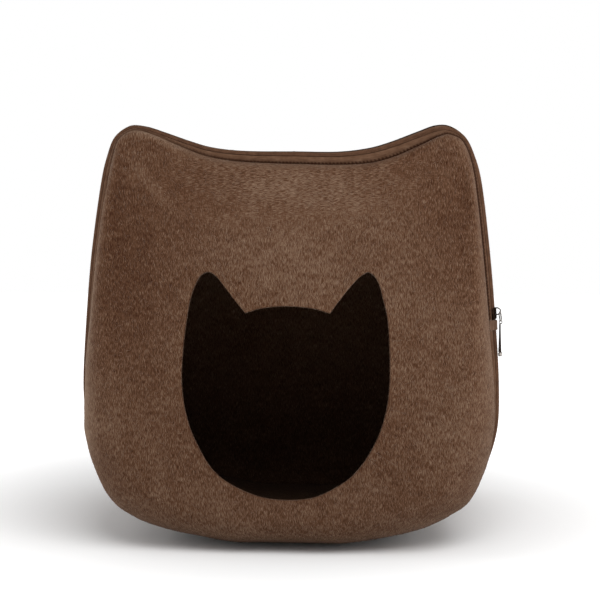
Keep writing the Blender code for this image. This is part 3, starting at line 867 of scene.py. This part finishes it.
def makeBack():
    s = sectionsAt(ringPlaces())
    fine, toMiddle, middle = backProfile(s)
    total = totalRun(fine)
    distance = rowDistances(total, (0.0, 4.0), (0.0, 0.15, 0.4, 0.75, 1.3, 2.0, 3.2), 34)
    base = readAlong(fine, distance)
    # its edge just touches the wall's, so no light comes through
    base[-1] += unit(base[-1] - base[-2]) * 0.4
    out = outward(base)
    out[-1] = unit(out[-1] * (1, 0, 1))
    fromSeam = total - distance
    calm = smooth(fromSeam / feltShape["calm"]) * smooth(base[..., 2] / 25)
    inward = roundedEdge(fromSeam, 1.6) - waves(base, 21) * calm
    outer = base - out * inward[..., None]
    outer[..., 2] = np.maximum(outer[..., 2], 0.0)
    reach = np.linalg.norm(base[0][:, [0, 2]] - middle, axis=1)
    flat = middle - toMiddle[None] * (distance + reach)[..., None] + (0, 4000)
    flat = np.concatenate([flat, flat[:, :1]], axis=1)
    rows = len(base)
    inside = [0] + list(range(4, rows - 7, 3)) + [rows - 5, rows - 1]
    tip = outer[0].mean(axis=0)
    # painted shade along the back's seam
    marks = {
        "paintedLightShade": distance * 0,
        "lay": distance * 0 + feltShape["plainLay"],
        "paintedSeamShade": 0.7 * seamMark(fromSeam, 0.8),
    }
    piece = feltPiece("feltBack", outer, base, out, flat, inside, materials["felt"], marks, tip)
    return piece, outer, out


feltFront, frontOuter, frontOut = makeFront()
feltWall, wallOuter, wallOut = makeWall()
feltBack, backOuter, backOut = makeBack()
print("felt: front, wall and back")

# Loose fibres

fuzz = {
    "frontCount": 6200,
    "wallCount": 6000,
    "backCount": 3400,
    "edgeCount": 1500,
    "length": (2.0, 6.5),
    "radius": (0.035, 0.075),
    "lift": (0.05, 0.55),
    "curl": 1.9,
    "sides": 3,
    "segments": 3,
    "paleShare": 0.004,
}


def readGrid(grid, row, col):
    # a grid that runs round, read between its points
    rows, cols = grid.shape[:2]
    row = np.clip(row, 0, rows - 1.001)
    r, c = np.floor(row).astype(int), np.floor(col).astype(int)
    u, v = (row - r)[..., None], (col - np.floor(col))[..., None]
    near = grid[r, c % cols] * (1 - v) + grid[r, (c + 1) % cols] * v
    far = grid[r + 1, c % cols] * (1 - v) + grid[r + 1, (c + 1) % cols] * v
    return near * (1 - u) + far * u


def scatter(outer, count, draw):
    # random places on a felt face, as many to each square centimetre everywhere
    across = np.linalg.norm(np.diff(outer, axis=0), axis=2)
    around = np.linalg.norm(np.roll(outer, -1, axis=1) - outer, axis=2)[:-1]
    area = across * around
    area[-1] = 0
    chosen = draw.choice(area.size, size=count, p=(area / area.sum()).ravel())
    row, col = np.divmod(chosen, outer.shape[1])
    stepRow, stepCol = across[row, col], around[row, col]
    return row + draw.random(count), col + draw.random(count), stepRow, stepCol


def makeFuzz(name, outer, out, count, seed, edges=()):
    draw = np.random.default_rng(seed)
    row, col, stepRow, stepCol = scatter(outer, count, draw)
    heading = draw.uniform(0, 2 * math.pi, count)
    length = draw.uniform(*fuzz["length"], count)
    lift = draw.uniform(*fuzz["lift"], count) ** 1.5
    curl = draw.normal(0, fuzz["curl"], count)
    past = np.zeros(count)
    for edge in edges:
        # these start beside a cut edge and reach out over it
        extra = fuzz["edgeCount"]
        at = 0.0 if edge == 0 else len(outer) - 1.001
        row = np.concatenate([row, np.full(extra, at)])
        col = np.concatenate([col, draw.uniform(0, outer.shape[1], extra)])
        stepRow = np.concatenate([stepRow, np.full(extra, 1e6)])
        around = np.linalg.norm(np.roll(outer[edge], -1, axis=0) - outer[edge], axis=1)
        stepCol = np.concatenate([stepCol, around[np.floor(col[-extra:]).astype(int) % len(around)]])
        heading = np.concatenate([heading, draw.uniform(0, 2 * math.pi, extra)])
        length = np.concatenate([length, draw.uniform(1.2, 3.2, extra)])
        lift = np.concatenate([lift, draw.uniform(-0.1, 0.5, extra)])
        curl = np.concatenate([curl, draw.normal(0, fuzz["curl"], extra)])
        past = np.concatenate([past, draw.uniform(0.2, 1.3, extra) * (1 if edge == 0 else -1)])
    whole = len(row)
    stepRow, stepCol = np.maximum(stepRow, 0.05), np.maximum(stepCol, 0.05)
    points, ups = [], []
    segments = fuzz["segments"]
    for step in range(segments + 1):
        points.append(readGrid(outer, row, col))
        ups.append(unit(readGrid(out, row, col)))
        turn = heading + curl * step / segments
        row = row + np.sin(turn) * length / segments / stepRow
        col = col + np.cos(turn) * length / segments / stepCol
    paths, ups = np.stack(points, axis=1), np.stack(ups, axis=1)
    share = np.linspace(0, 1, segments + 1)
    rise = np.sin(math.pi * share * draw.uniform(0.5, 1.0, (whole, 1))) * lift[:, None]
    paths = paths + ups * (rise + 0.02)[..., None]
    # over a cut edge, away from the piece
    inOne = readGrid(outer, np.where(past < 0, len(outer) - 6.0, 5.0), col)
    edgeAway = unit(paths[:, 0] - inOne)
    paths = paths + edgeAway[:, None] * (np.abs(past)[:, None] * share)[..., None]
    paths[..., 2] = np.maximum(paths[..., 2], 0.05)
    thick = draw.uniform(*fuzz["radius"], (whole, 1)) * np.array([0.7, 1.0, 0.9, 0.45])
    points, faces = tubes(paths, thick, fuzz["sides"], upward=(0.31, 0.2, 0.93))
    tones = np.clip(draw.normal(0.42, 0.24, whole), 0, 1)
    tones[draw.random(whole) < fuzz["paleShare"]] = 1.6
    marks = {"tone": np.repeat(tones, (segments + 1) * fuzz["sides"])}
    return makePiece(name, points, faces, materials["fuzz"], marks=marks)


fuzzFront = makeFuzz("fuzzFront", frontOuter, frontOut, fuzz["frontCount"], 5, edges=(0, -1))
fuzzWall = makeFuzz("fuzzWall", wallOuter, wallOut, fuzz["wallCount"], 6)
fuzzBack = makeFuzz("fuzzBack", backOuter, backOut, fuzz["backCount"], 7)
print("loose fibres: front, wall and back")

# Zip

tabPlace = placeAt(zipSizes["tabZ"])
tapeEndGap = cave["gap"] / zipSizes["tabLength"] / 2
tapeShape = {
    "step": 0.8,
    "stitchPull": 0.1,
    "stitchPitch": 3.4,
    "grooveWidth": 1.5,  # beside the felt
    "grooveDeep": 0.75,
    "seamShadeSeen": 1.5,  # how wide the painted shade line shows past the felt, and how far it fades
    "seamShadeFade": 1.1,
    "shade": 0.5,
    "shadeWide": 6.0,
    "coilSide": 0.9,  # beside the coil, where the tape dips under a painted shade
    "tuck": 0.9,
}
# how dark the painted seam shade is on each side, at the rows of the sections table
seamShadeDarkness = {
    "rows": (0, 8, 10, 12, 14, 16, 18, 20),
    "left": (0.3, 0.2, 0.3, 0.7, 0.5, 0.45, 0.8, 1.0),
    "right": (0.8, 1.0, 1.0, 0.9, 0.8, 1.0, 1.0, 1.0),
}


def tapeLines(lines, edgeName, endGap):
    # a tape's felt edge, the way across it to the coil, its width and its own outward direction
    edge, coil = lines[edgeName], lines["coil"]
    across = unit(coil - edge)
    width = np.linalg.norm(coil - edge, axis=1) - zipSizes["coilWidth"] / 2 - endGap
    return edge, across, width, squared(lines["out"], across)


def makeTape(name, edgeName):
    places, run = evenPlaces(tabPlace + tapeEndGap, tabPlace - tapeEndGap, tapeShape["step"])
    lines = zipLines(places)
    edge, across, width, up = tapeLines(lines, edgeName, cave["gap"])
    thick = zipSizes["tape"]
    # it reaches a little into the felt and under the coil, so no light comes through
    near = np.array([-tapeShape["tuck"], 0.3, 0.7, 1.1, 1.6])[:, None] * np.ones(len(run))
    far = width - np.array([1.3, 0.8, 0.4, -0.3])[:, None]
    between = near[-1] + (far[0] - near[-1]) * np.linspace(0, 1, 6)[1:-1, None]
    reach = np.vstack([near, between, far])
    pull = tapeShape["stitchPull"] * (0.5 + 0.5 * np.cos(2 * math.pi * run / tapeShape["stitchPitch"]))
    # the stitches draw the groove in and out, and the painted shade's edge with it
    seamRagged = 0.7 + 0.6 * np.cos(math.pi * run / tapeShape["stitchPitch"]) ** 2
    ring, flat, paintedSeamShade = [], [], []
    for distance in reach:  # the outer face
        crown = zipSizes["tapeCrown"] * np.clip(np.sin(math.pi * distance / width), 0, 1) ** 0.8
        atFelt = seamMark(distance, tapeShape["grooveWidth"])
        atCoil = seamMark(width - distance, tapeShape["coilSide"])
        height = crown - (tapeShape["grooveDeep"] + pull) * atFelt - 0.4 * atCoil
        ring.append(edge + across * distance[:, None] + up * height[:, None])
        flat.append(np.column_stack([run, distance]))
        if edgeName == "front":
            # the felt's rolled edge hides the tape's first stretch; beyond it a painted shade marks the
            # groove, with a softer, wider painted shade across the tape
            beyond = ((lines["seam"] - ring[-1]) * lines["inward"]).sum(axis=1)
            atFelt = seamMark(beyond - tapeShape["seamShadeSeen"] * seamRagged, tapeShape["seamShadeFade"])
            atFelt = np.maximum(atFelt, tapeShape["shade"] * seamMark(beyond, tapeShape["shadeWide"]))
            atFelt = atFelt * bySide(places, seamShadeDarkness)
        # painted shade beside the felt and beside the coil
        paintedSeamShade.append(np.maximum(atFelt, 0.85 * atCoil))
    for distance in reach[::-1]:  # the inner one
        ring.append(edge + across * distance[:, None] - up * thick)
        flat.append(np.column_stack([run, distance + 20]))
        paintedSeamShade.append(distance * 0)
    flat.append(flat[0])
    grid, uvGrid = np.array(ring), np.array(flat)
    index = np.arange(grid.shape[0] * grid.shape[1]).reshape(grid.shape[:2])
    closed = np.vstack([index, index[:1]])
    faces = gridFaces(closed, False)
    ends = [index[:, 0].tolist(), index[:, -1][::-1].tolist()]
    uv = np.vstack([gridFlat(uvGrid).reshape(-1, 2), uvGrid[:-1, 0], uvGrid[:-1, -1][::-1]])
    marks = {"paintedSeamShade": np.array(paintedSeamShade)}
    return makePiece(name, grid.reshape(-1, 3), faces.tolist() + ends, materials["tape"], uv=uv, marks=marks)


zipTapeFront = makeTape("zipTapeFront", "front")
zipTapeRear = makeTape("zipTapeRear", "rear")
print("zip tapes")

coilShape = {"pitch": 1.45, "toothRadius": 0.4, "slant": 0.28}
# a tooth's own line: across the zip from its tape to the other side of the middle, and its height
toothLine = {
    "across": (-2.2, -1.3, -0.2, 0.65, 0.95),
    "up": (0.0, 0.62, 0.8, 0.62, 0.2),
    "thick": (0.8, 1.0, 1.0, 1.2, 0.7),
}


def makeCoil():
    start = placeAt(zipSizes["sliderZ"] - 0.2)
    places = evenPlaces(start, tabPlace, coilShape["pitch"] / 2)[0]
    lines = zipLines(places)
    along = unit(np.gradient(lines["coil"], axis=0))
    side = np.where(np.arange(len(places)) % 2 == 0, 1.0, -1.0)
    paths = []
    for a, u in zip(toothLine["across"], toothLine["up"]):
        slide = coilShape["slant"] * a * side
        paths.append(
            lines["coil"]
            + lines["across"] * (a * side)[:, None]
            + lines["up"] * u
            + along * slide[:, None]
        )
    radii = np.array(toothLine["thick"]) * coilShape["toothRadius"]
    teeth = tubes(np.stack(paths, axis=1), radii, 6)
    coarse = slice(None, None, 2)
    half, high = zipSizes["coilWidth"] / 2 + 0.15, zipSizes["coilHeight"] / 2
    rightSide = ((1.2, 0.45), (half, -0.3), (half, -0.8), (1.4, -high))
    leftSide = [(-a, u) for a, u in rightSide[::-1]]
    section = (*leftSide[2:], *rightSide, *leftSide[:2])
    rings = [
        (lines["coil"] + lines["across"] * a + lines["up"] * u)[coarse]
        for a, u in section
    ]
    grid = np.array(rings)
    index = np.arange(grid.shape[0] * grid.shape[1]).reshape(grid.shape[:2])
    core = gridFaces(np.vstack([index, index[:1]]), False).tolist()
    core += [index[:, 0].tolist(), index[:, -1][::-1].tolist()]
    points, faces = joined([teeth, (grid.reshape(-1, 3), core)])
    return makePiece("zipTeeth", points, faces, materials["coil"])


zipTeeth = makeCoil()
print("zip coil")

stitchShape = {"pitch": 3.4, "long": 2.3, "radius": 0.24, "uneven": 0.35}


def makeStitches(name, edgeName, inward, seed):
    # short stitches in the groove between a tape and the felt
    draw = np.random.default_rng(seed)
    clear, pitch = tapeEndGap * 6, stitchShape["pitch"]
    places, run = evenPlaces(tabPlace + clear, tabPlace - clear, pitch / 6, edgeName)
    lines = zipLines(places)
    edge, across, _, up = tapeLines(lines, edgeName, cave["gap"])
    middle = edge + across * inward + up * 0.1
    count = int(run[-1] / pitch)
    uneven = draw.uniform(-0.5, 0.5, count) * stitchShape["uneven"]
    centre = (np.arange(count) + 0.5) * pitch + uneven
    half = stitchShape["long"] / 2 * draw.uniform(0.8, 1.15, count)
    shift = draw.uniform(-0.25, 0.25, (2, count))
    paths = []
    for share in np.linspace(-1, 1, 5):
        at = centre + half * share
        point = np.column_stack([np.interp(at, run, middle[:, axis]) for axis in range(3)])
        lift = np.column_stack([np.interp(at, run, up[:, axis]) for axis in range(3)])
        aside = np.column_stack([np.interp(at, run, across[:, axis]) for axis in range(3)])
        rise = 0.22 * (1 - share * share) - 0.12
        slant = shift[0] + (shift[1] - shift[0]) * (share + 1) / 2
        paths.append(point + lift * rise + aside * slant[:, None])
    radii = stitchShape["radius"] * np.array([0.6, 1.0, 1.05, 1.0, 0.6])
    points, faces = tubes(np.stack(paths, axis=1), radii, 6)
    uv = np.zeros((sum(len(face) for face in faces), 2))
    return makePiece(name, points, faces, materials["thread"], uv=uv)


seamStitchesFront = makeStitches("seamStitchesFront", "front", 0.45, 31)
seamStitchesRear = makeStitches("seamStitchesRear", "rear", 0.45, 32)
print("seam stitches")

# Tab, with its frayed ends

tabShape = {"thick": 1.0, "rows": 22, "cols": 16, "ragged": 0.5, "threads": 70, "threadRadius": 0.09}


def makeTab():
    draw = np.random.default_rng(41)
    half = zipSizes["tabLength"] / 2
    heights = np.linspace(zipSizes["tabZ"] - half, zipSizes["tabZ"] + half, tabShape["cols"])
    lines = zipLines(np.array([placeAt(height) for height in heights]))
    crest = zipSizes["coilHeight"] / 2
    front, frontAcross, _, frontUp = tapeLines(lines, "front", 0.9)
    rear, rearAcross, _, rearUp = tapeLines(lines, "rear", 0.9)
    lift = cave["gap"]
    side = zipSizes["coilWidth"] / 2 + 1.5 * lift
    keys = [
        front + frontAcross * 1.2 + frontUp * lift,
        lines["coil"] - lines["across"] * side + lines["up"] * (lift / 2),
        lines["coil"] - lines["across"] * 1.4 + lines["up"] * (crest + lift),
        lines["coil"] + lines["across"] * 1.4 + lines["up"] * (crest + lift),
        lines["coil"] + lines["across"] * side + lines["up"] * (lift / 2),
        rear + rearAcross * 1.2 + rearUp * lift,
    ]
    low = readAlong(np.array(keys), np.linspace(0, 1, tabShape["rows"])[:, None] * totalRun(np.array(keys)))
    for _ in range(2):
        low[1:-1] = (low[:-2] + 2 * low[1:-1] + low[2:]) / 4
    out = outward(np.concatenate([low, low[:, ::-1]], axis=1))[:, : tabShape["cols"]]
    out = np.where(((out * lines["up"]).sum(axis=2) < 0)[..., None], -out, out)
    out[:, [0, -1]] = out[:, [1, -2]]
    along = unit(np.gradient(low, axis=1))
    ragged = draw.uniform(-1, 1, (tabShape["rows"], 2)) * tabShape["ragged"]
    curved = 0.5 * smooth((np.linspace(0, 1, tabShape["rows"])[:, None] - 0.4) / 0.2)
    low[:, 0] += along[:, 0] * (ragged[:, :1] + curved)
    low[:, -1] += along[:, -1] * (ragged[:, 1:] - curved)
    wave = bumpy(low, 4.0, 8) * 0.25
    high = low + out * (tabShape["thick"] + wave)[..., None]
    rows, cols = low.shape[:2]
    index = np.arange(rows * cols).reshape(rows, cols)
    under = index + rows * cols
    border = np.concatenate([index[0, :-1], index[:-1, -1], index[-1, :0:-1], index[:0:-1, 0]])
    faces = [gridFaces(index, False), gridFaces(under, False)[:, ::-1]]
    faces.append(gridFaces(np.stack([border, border + rows * cols]), True))
    faces = np.vstack(faces)
    across = np.concatenate([[0], np.cumsum(np.linalg.norm(np.diff(low[:, 0], axis=0), axis=1))])
    flat = np.stack(np.broadcast_arrays(heights[None, :], across[:, None]), axis=-1).reshape(-1, 2)
    uv = np.vstack([flat, flat + 30])[faces.ravel()]
    points = np.vstack([high.reshape(-1, 3), low.reshape(-1, 3)])
    piece = makePiece("zipTab", points, faces.tolist(), materials["tab"], uv=uv)
    # threads that stand out of its cut ends
    count = tabShape["threads"]
    row = draw.uniform(0, rows - 1.001, count)
    end = draw.random(count) < 0.5
    middle = (low + high) / 2
    start = np.where(end[:, None], readEdge(middle[:, 0], row), readEdge(middle[:, -1], row))
    away = np.where(end[:, None], -readEdge(along[:, 0], row), readEdge(along[:, -1], row))
    lifted = readEdge(out[:, 0], row)
    aside = np.cross(away, lifted)
    reach = draw.uniform(0.5, 1.8, count)
    sway = draw.normal(0, 0.5, (2, count))
    start = start + lifted * draw.uniform(-0.4, 0.4, count)[:, None]
    paths = []
    for share in np.linspace(0, 1, 4):
        bend = share * share
        paths.append(
            start
            + away * (reach * share - 0.3)[:, None]
            + aside * (sway[0] * bend)[:, None]
            + lifted * (sway[1] * bend * 0.5)[:, None]
        )
    points, faces = tubes(np.stack(paths, axis=1), tabShape["threadRadius"] * np.array([1, 0.9, 0.8, 0.5]), 4)
    # one long loose thread that curls over the front's felt
    spot = front[len(front) // 2] + frontUp[len(front) // 2] * 0.4
    curlTurn = np.linspace(0, 1, 16)
    reachOut = np.array([0.0, -1.0, 0.0])
    curl = (
        spot
        + reachOut * (curlTurn * 3.6)[:, None]
        + frontUp[0] * (0.9 * np.sin(curlTurn * 3.0))[:, None]
        + np.array([0.0, 0.0, 1.0]) * (2.2 * np.sin(curlTurn * 4.4))[:, None]
    )
    loose = tubes(curl[None], 0.11, 5)
    points, faces = joined([(points, faces), loose])
    tones = np.full(len(points), 0.85)
    return piece, makePiece("tabThreads", points, faces, materials["fuzz"], marks={"tone": tones})


def readEdge(line, at):
    # a line of points, read between them
    first = np.floor(at).astype(int)
    share = (at - first)[:, None]
    return line[first] * (1 - share) + line[np.minimum(first + 1, len(line) - 1)] * share


zipTab, tabThreads = makeTab()
print("tab")

# Slider and pull, on the right side. X runs to the back across the zip, Y up along it and Z out.

sliderShape = {
    "long": 11.0,
    "wide": 8.4,
    "tail": 6.8,
    "corner": 1.9,
    "plate": 0.75,
    "over": 0.65,
    "under": 3.1,
    "post": (-3.5, -0.5),  # what joins the plates, from and to along the slider
    "postWide": 2.4,
    "bail": 7.7,
    "bailMiddle": 2.0,  # above the slider's middle
    "bailHigh": 6.35,
    "bailWire": 0.6,
}


def roundedOutline(corners, radius, steps=7):
    # the outline of a polygon with rounded corners
    corners = np.array(corners, float)
    points = []
    for i, corner in enumerate(corners):
        before, after = corners[i - 1], corners[(i + 1) % len(corners)]
        start, end = corner + unit(before - corner) * radius, corner + unit(after - corner) * radius
        for share in np.linspace(0, 1, steps):
            points.append(start * (1 - share) ** 2 + corner * 2 * share * (1 - share) + end * share**2)
    return np.array(points)


def pillow(outline, low, high, radius, dome=0.0):
    # a plate over an outline, with rounded edges and a domed top
    centre = outline.mean(axis=0)
    inwardWay = unit(np.roll(outline, -1, axis=0) - np.roll(outline, 1, axis=0))
    inwardWay = np.column_stack([-inwardWay[:, 1], inwardWay[:, 0]])
    if ((centre - outline) * inwardWay).sum() < 0:
        inwardWay = -inwardWay
    rings = []
    turns = np.linspace(0, math.pi / 2, 5)
    for turn in turns:
        edge = outline + inwardWay * radius * (1 - math.sin(turn))
        rings.append((edge, low + radius * (1 - math.cos(turn))))
    for turn in turns:
        edge = outline + inwardWay * radius * (1 - math.cos(turn))
        rings.append((edge, high - radius * (1 - math.sin(turn))))
    top = rings[-1][0]
    for share in (0.8, 0.55, 0.3):
        rings.append((centre + (top - centre) * share, high + dome * (1 - share**2)))
    points = np.vstack([np.column_stack([flat, np.full(len(flat), z)]) for flat, z in rings])
    index = np.arange(len(points)).reshape(len(rings), len(outline))
    return points, gridFaces(index, True).tolist() + [index[0].tolist(), index[-1].tolist()]


def onZip(piece, height, along=0.0, out=0.0, lean=0.0):
    lines = zipLines(np.array([placeAt(height)]))
    across, outwardWay = Vector(lines["across"][0]), Vector(lines["up"][0])
    turn = Matrix((across, outwardWay.cross(across), outwardWay)).transposed().to_4x4()
    stand = Matrix.Translation(Vector((0, along, out)) * mm) @ Matrix.Rotation(math.radians(lean), 4, "X")
    piece.data.transform(Matrix.Translation(Vector(lines["coil"][0]) * mm) @ turn @ stand)
    return piece


def makeSlider():
    size = sliderShape
    half, top = size["long"] / 2, size["over"] + size["plate"]
    tail, wide = size["tail"] / 2, size["wide"] / 2
    corners = ((-tail, -half), (tail, -half), (wide, half), (-wide, half))
    outline = roundedOutline(corners, size["corner"])
    parts = [
        pillow(outline, size["over"], top, 0.35, 0.15),
        pillow(outline, -size["under"] - size["plate"], -size["under"], 0.55),
    ]
    postWide, (postLow, postHigh) = size["postWide"] / 2, size["post"]
    post = ((-postWide, postLow), (postWide, postLow), (postWide, postHigh), (-postWide, postHigh))
    post = roundedOutline(post, 0.5, 4)
    parts.append(pillow(post, -size["under"] - 0.3, size["over"] + 0.3, 0.1))
    # flanges that guide the coil, along both sides of the upper plate
    for side in (-1, 1):
        flange = [(side * (tail - 0.35), -half + 1.6), (side * (wide - 0.35), half - 1.6)]
        path = [(x, y, size["over"] - 0.1) for x, y in np.linspace(flange[0], flange[1], 6)]
        parts.append(tubes([path], [0.3, 0.48, 0.5, 0.5, 0.48, 0.3], 8))
    body = onZip(makePiece("zipSlider", *joined(parts), materials["brownMetal"]), zipSizes["sliderZ"])
    bend = np.linspace(0, math.pi, 25)
    reach, high = size["bail"] / 2 - size["bailWire"], top + size["bailHigh"] - size["bailWire"]
    middle, rise = size["bailMiddle"], high - top + 0.4
    arch = [(0.0, middle - reach * math.cos(t), top - 0.4 + rise * math.sin(t) ** 0.6) for t in bend]
    bail = makePiece("zipBail", *tubes([arch], size["bailWire"], 12, upward=(1, 0, 0)), materials["chrome"])
    return onZip(bail, zipSizes["sliderZ"]), body


# Y = 0 is the top of the pull's link, where it hangs on the bail
pullShape = {
    "hangs": 0.52,  # from the slider's middle up to there
    "out": 6.4,
    "lean": 5.0,  # degrees, from the zip's slope back towards plumb
    "linkLong": 8.6,
    "linkWide": 5.2,
    "wire": 0.6,
    "ring": 1.5,
    "ringWire": 0.45,
    "leafTop": -10.2,
    "bottom": -41.7,
    "leafWide": (1.7, 3.9),  # at its top and above the tip
    "leafThick": (1.1, 1.5),
    "tipLong": 4.0,
    "tipWide": 4.6,
    "tipThick": 2.1,
    "tipAside": 0.5,  # outwards
    "twist": -18.0,  # degrees
}


def makePull():
    size = pullShape
    onBail = {"along": size["hangs"], "out": size["out"], "lean": size["lean"]}
    halfWide, halfLong = size["linkWide"] / 2 - size["wire"], size["linkLong"] / 2
    turn = np.linspace(0, 2 * math.pi, 37)[:-1]

    def bulged(value):
        # a rounded box rather than a circle
        return np.sign(value) * np.abs(value) ** 0.65

    top = size["wire"]
    down = top - halfLong + halfLong * bulged(np.sin(turn))
    link = np.column_stack([halfWide * bulged(np.cos(turn)), down, turn * 0])
    link[:, 2] += 0.9 * smooth(-link[:, 1] / size["linkLong"])
    ringMiddle = np.array([0.0, top - size["linkLong"] - size["ring"] + 0.5, 0.75])
    ring = ringMiddle + size["ring"] * np.column_stack([turn * 0, np.cos(turn), np.sin(turn)])
    parts = [closedTube(link, size["wire"], 10, (0, 0, 1)), closedTube(ring, size["ringWire"], 8, (1, 0, 0))]
    tipTop = size["bottom"] + size["tipLong"]
    leaf = leafBlade(size["leafTop"], tipTop - 0.8, size["leafWide"], size["leafThick"])
    half = size["tipWide"] / 2
    corners = ((-half, tipTop), (half, tipTop), (half * 0.86, size["bottom"]), (-half * 0.86, size["bottom"]))
    thick = size["tipThick"] / 2
    aside = size["tipAside"]
    parts.append(twisted(*pillow(roundedOutline(corners, 1.4, 6), aside - thick, aside + thick, 0.8)))
    pull = makePiece("zipPull", *joined(parts), materials["chrome"])
    blade = makePiece("zipPullLeaf", *twisted(*leaf), materials["darkMetal"])
    return [onZip(piece, zipSizes["sliderZ"], **onBail) for piece in (pull, blade)]


def twisted(points, faces):
    turn = math.radians(pullShape["twist"])
    x, z = points[:, 0].copy(), points[:, 2].copy()
    points[:, 0] = x * math.cos(turn) + z * math.sin(turn)
    points[:, 2] = z * math.cos(turn) - x * math.sin(turn)
    return points, faces


def leafBlade(top, bottom, wide, thick):
    # a long blade that widens and thickens downwards, with an oval section
    share = np.linspace(0, 1, 26)
    turn = np.linspace(0, 2 * math.pi, 17)[:-1]
    rounding = np.clip(1 - (1 - np.minimum(share, 1 - share) / 0.03) ** 2, 0.08, 1) ** 0.5
    rounding[np.minimum(share, 1 - share) > 0.03] = 1
    halfWide = (wide[0] + (wide[1] - wide[0]) * share**1.6) / 2 * rounding
    halfThick = (thick[0] + (thick[1] - thick[0]) * share) / 2 * rounding
    rings = []
    for one, y in enumerate(top + (bottom - top) * share):
        x = halfWide[one] * np.sign(np.cos(turn)) * np.abs(np.cos(turn)) ** 0.7
        z = halfThick[one] * np.sign(np.sin(turn)) * np.abs(np.sin(turn)) ** 0.7
        rings.append(np.column_stack([x, turn * 0 + y, z]))
    points = np.vstack(rings)
    index = np.arange(len(points)).reshape(len(rings), len(turn))
    return points, gridFaces(index, True).tolist() + [index[0].tolist(), index[-1].tolist()]


zipBail, zipSlider = makeSlider()
zipPull, zipPullLeaf = makePull()
print("slider and pull")

# What each piece is to the frame

for piece, slot, nodes in (
    (feltFront, "felt", ["front_panel"]),
    (feltWall, "felt", ["side_wall"]),
    (feltBack, "felt", ["back_panel"]),
    (fuzzFront, "felt", []),
    (fuzzWall, "felt", []),
    (fuzzBack, "felt", []),
    (zipTapeFront, "zip_tape", ["zip_tape_front"]),
    (zipTapeRear, "zip_tape", ["zip_tape_rear"]),
    (zipTeeth, "zip_coil", ["zip_coil"]),
    (seamStitchesFront, "zip_tape", []),
    (seamStitchesRear, "zip_tape", []),
    (zipTab, "zip_tab", ["zip_tab"]),
    (tabThreads, "zip_tab", []),
    (zipSlider, "zip_metal", ["zip_slider"]),
    (zipBail, "zip_metal", []),
    (zipPull, "zip_metal", ["zip_pull"]),
    (zipPullLeaf, "zip_metal", []),
):
    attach(piece, "root")
    if nodes:
        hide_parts(*nodes)

# Floor, light and camera

studio = {
    "floor": 8.0,
    "floorColour": (0.9, 0.9, 0.9, 1.0),
    "glow": 0.75,  # the pale floor's own brightness away from the cave, so that it meets the white behind
    "glowFrom": 0.2,  # metres from the middle
    "glowTo": 0.75,
    "ambient": 0.5,
    "backdrop": 1.0,
}
# each lamp's name, place, aim, size and power
lamps = (
    ("topFront", (0.55, -1.2, 1.6), (0.0, -0.1, 0.3), (1.5, 1.1), 24.0),
    ("rightRim", (1.6, -0.3, 0.5), (0.1, -0.1, 0.2), (0.7, 1.3), 10.0),
    ("leftRim", (-1.6, -0.2, 0.5), (-0.1, -0.1, 0.2), (0.6, 1.2), 9.0),
)
view = {
    "turn": 4.0,  # degrees round to the right, and up
    "rise": 5.0,
    "far": 1.55,
    "middle": (0.0, 0.0, 0.19),  # what the camera is that far from
    "aim": (0.0011, 0.0, 0.2288),
    "lens": 88.6,
}


def makeFloor():
    half = studio["floor"] / 2
    mesh = bpy.data.meshes.new("floor")
    corners = [(-half, -half, 0), (half, -half, 0), (half, half, 0), (-half, half, 0)]
    mesh.from_pydata(corners, [], [(0, 1, 2, 3)])
    material, tree, shader = newMaterial("paleFloor", Base_Color=studio["floorColour"], Roughness=0.9)
    shader.inputs["Specular IOR Level"].default_value = 0.0
    shader.inputs["Emission Color"].default_value = (1, 1, 1, 1)
    place = addNode(tree, "TexCoord").outputs["Object"]
    away = addNode(tree, "VectorMath", {0: place}, operation="LENGTH").outputs["Value"]
    glow = ranged(tree, away, studio["glowFrom"], studio["glowTo"], 0.0, studio["glow"])
    tree.links.new(glow, shader.inputs["Emission Strength"])
    mesh.materials.append(material)
    floor = bpy.data.objects.new("floor", mesh)
    floor.location.z = -0.0004
    bpy.context.scene.collection.objects.link(floor)


def makeWorld():
    # white all round behind the object, and a softer fill for its light
    world = bpy.data.worlds.new("studio")
    world.use_nodes = True
    tree = world.node_tree
    background = tree.nodes["Background"]
    background.inputs["Color"].default_value = (1, 1, 1, 1)
    seen = tree.nodes.new("ShaderNodeLightPath")
    more = studio["backdrop"] - studio["ambient"]
    strength = calc(tree, "MULTIPLY_ADD", seen.outputs["Is Camera Ray"], more, studio["ambient"])
    tree.links.new(strength, background.inputs["Strength"])
    bpy.context.scene.world = world


def makeLamp(name, place, aim, size, power):
    light = bpy.data.lights.new(name, "AREA")
    light.shape = "RECTANGLE"
    light.size, light.size_y = size
    light.energy = power
    lamp = bpy.data.objects.new(name, light)
    lamp.location = place
    lamp.rotation_euler = (Vector(aim) - Vector(place)).to_track_quat("-Z", "Y").to_euler()
    bpy.context.scene.collection.objects.link(lamp)


def makeCamera():
    turn, rise = math.radians(view["turn"]), math.radians(view["rise"])
    back = Vector((math.sin(turn) * math.cos(rise), -math.cos(turn) * math.cos(rise), math.sin(rise)))
    data = bpy.data.cameras.new("camera")
    data.lens = view["lens"]
    data.sensor_width = 36.0
    camera = bpy.data.objects.new("camera", data)
    camera.location = Vector(view["middle"]) + back * view["far"]
    camera.rotation_euler = (Vector(view["aim"]) - camera.location).to_track_quat("-Z", "Y").to_euler()
    bpy.context.scene.collection.objects.link(camera)
    bpy.context.scene.camera = camera


makeFloor()
makeWorld()
for lamp in lamps:
    makeLamp(*lamp)
makeCamera()
bpy.context.scene.view_settings.view_transform = "Standard"
print("floor, light and camera")
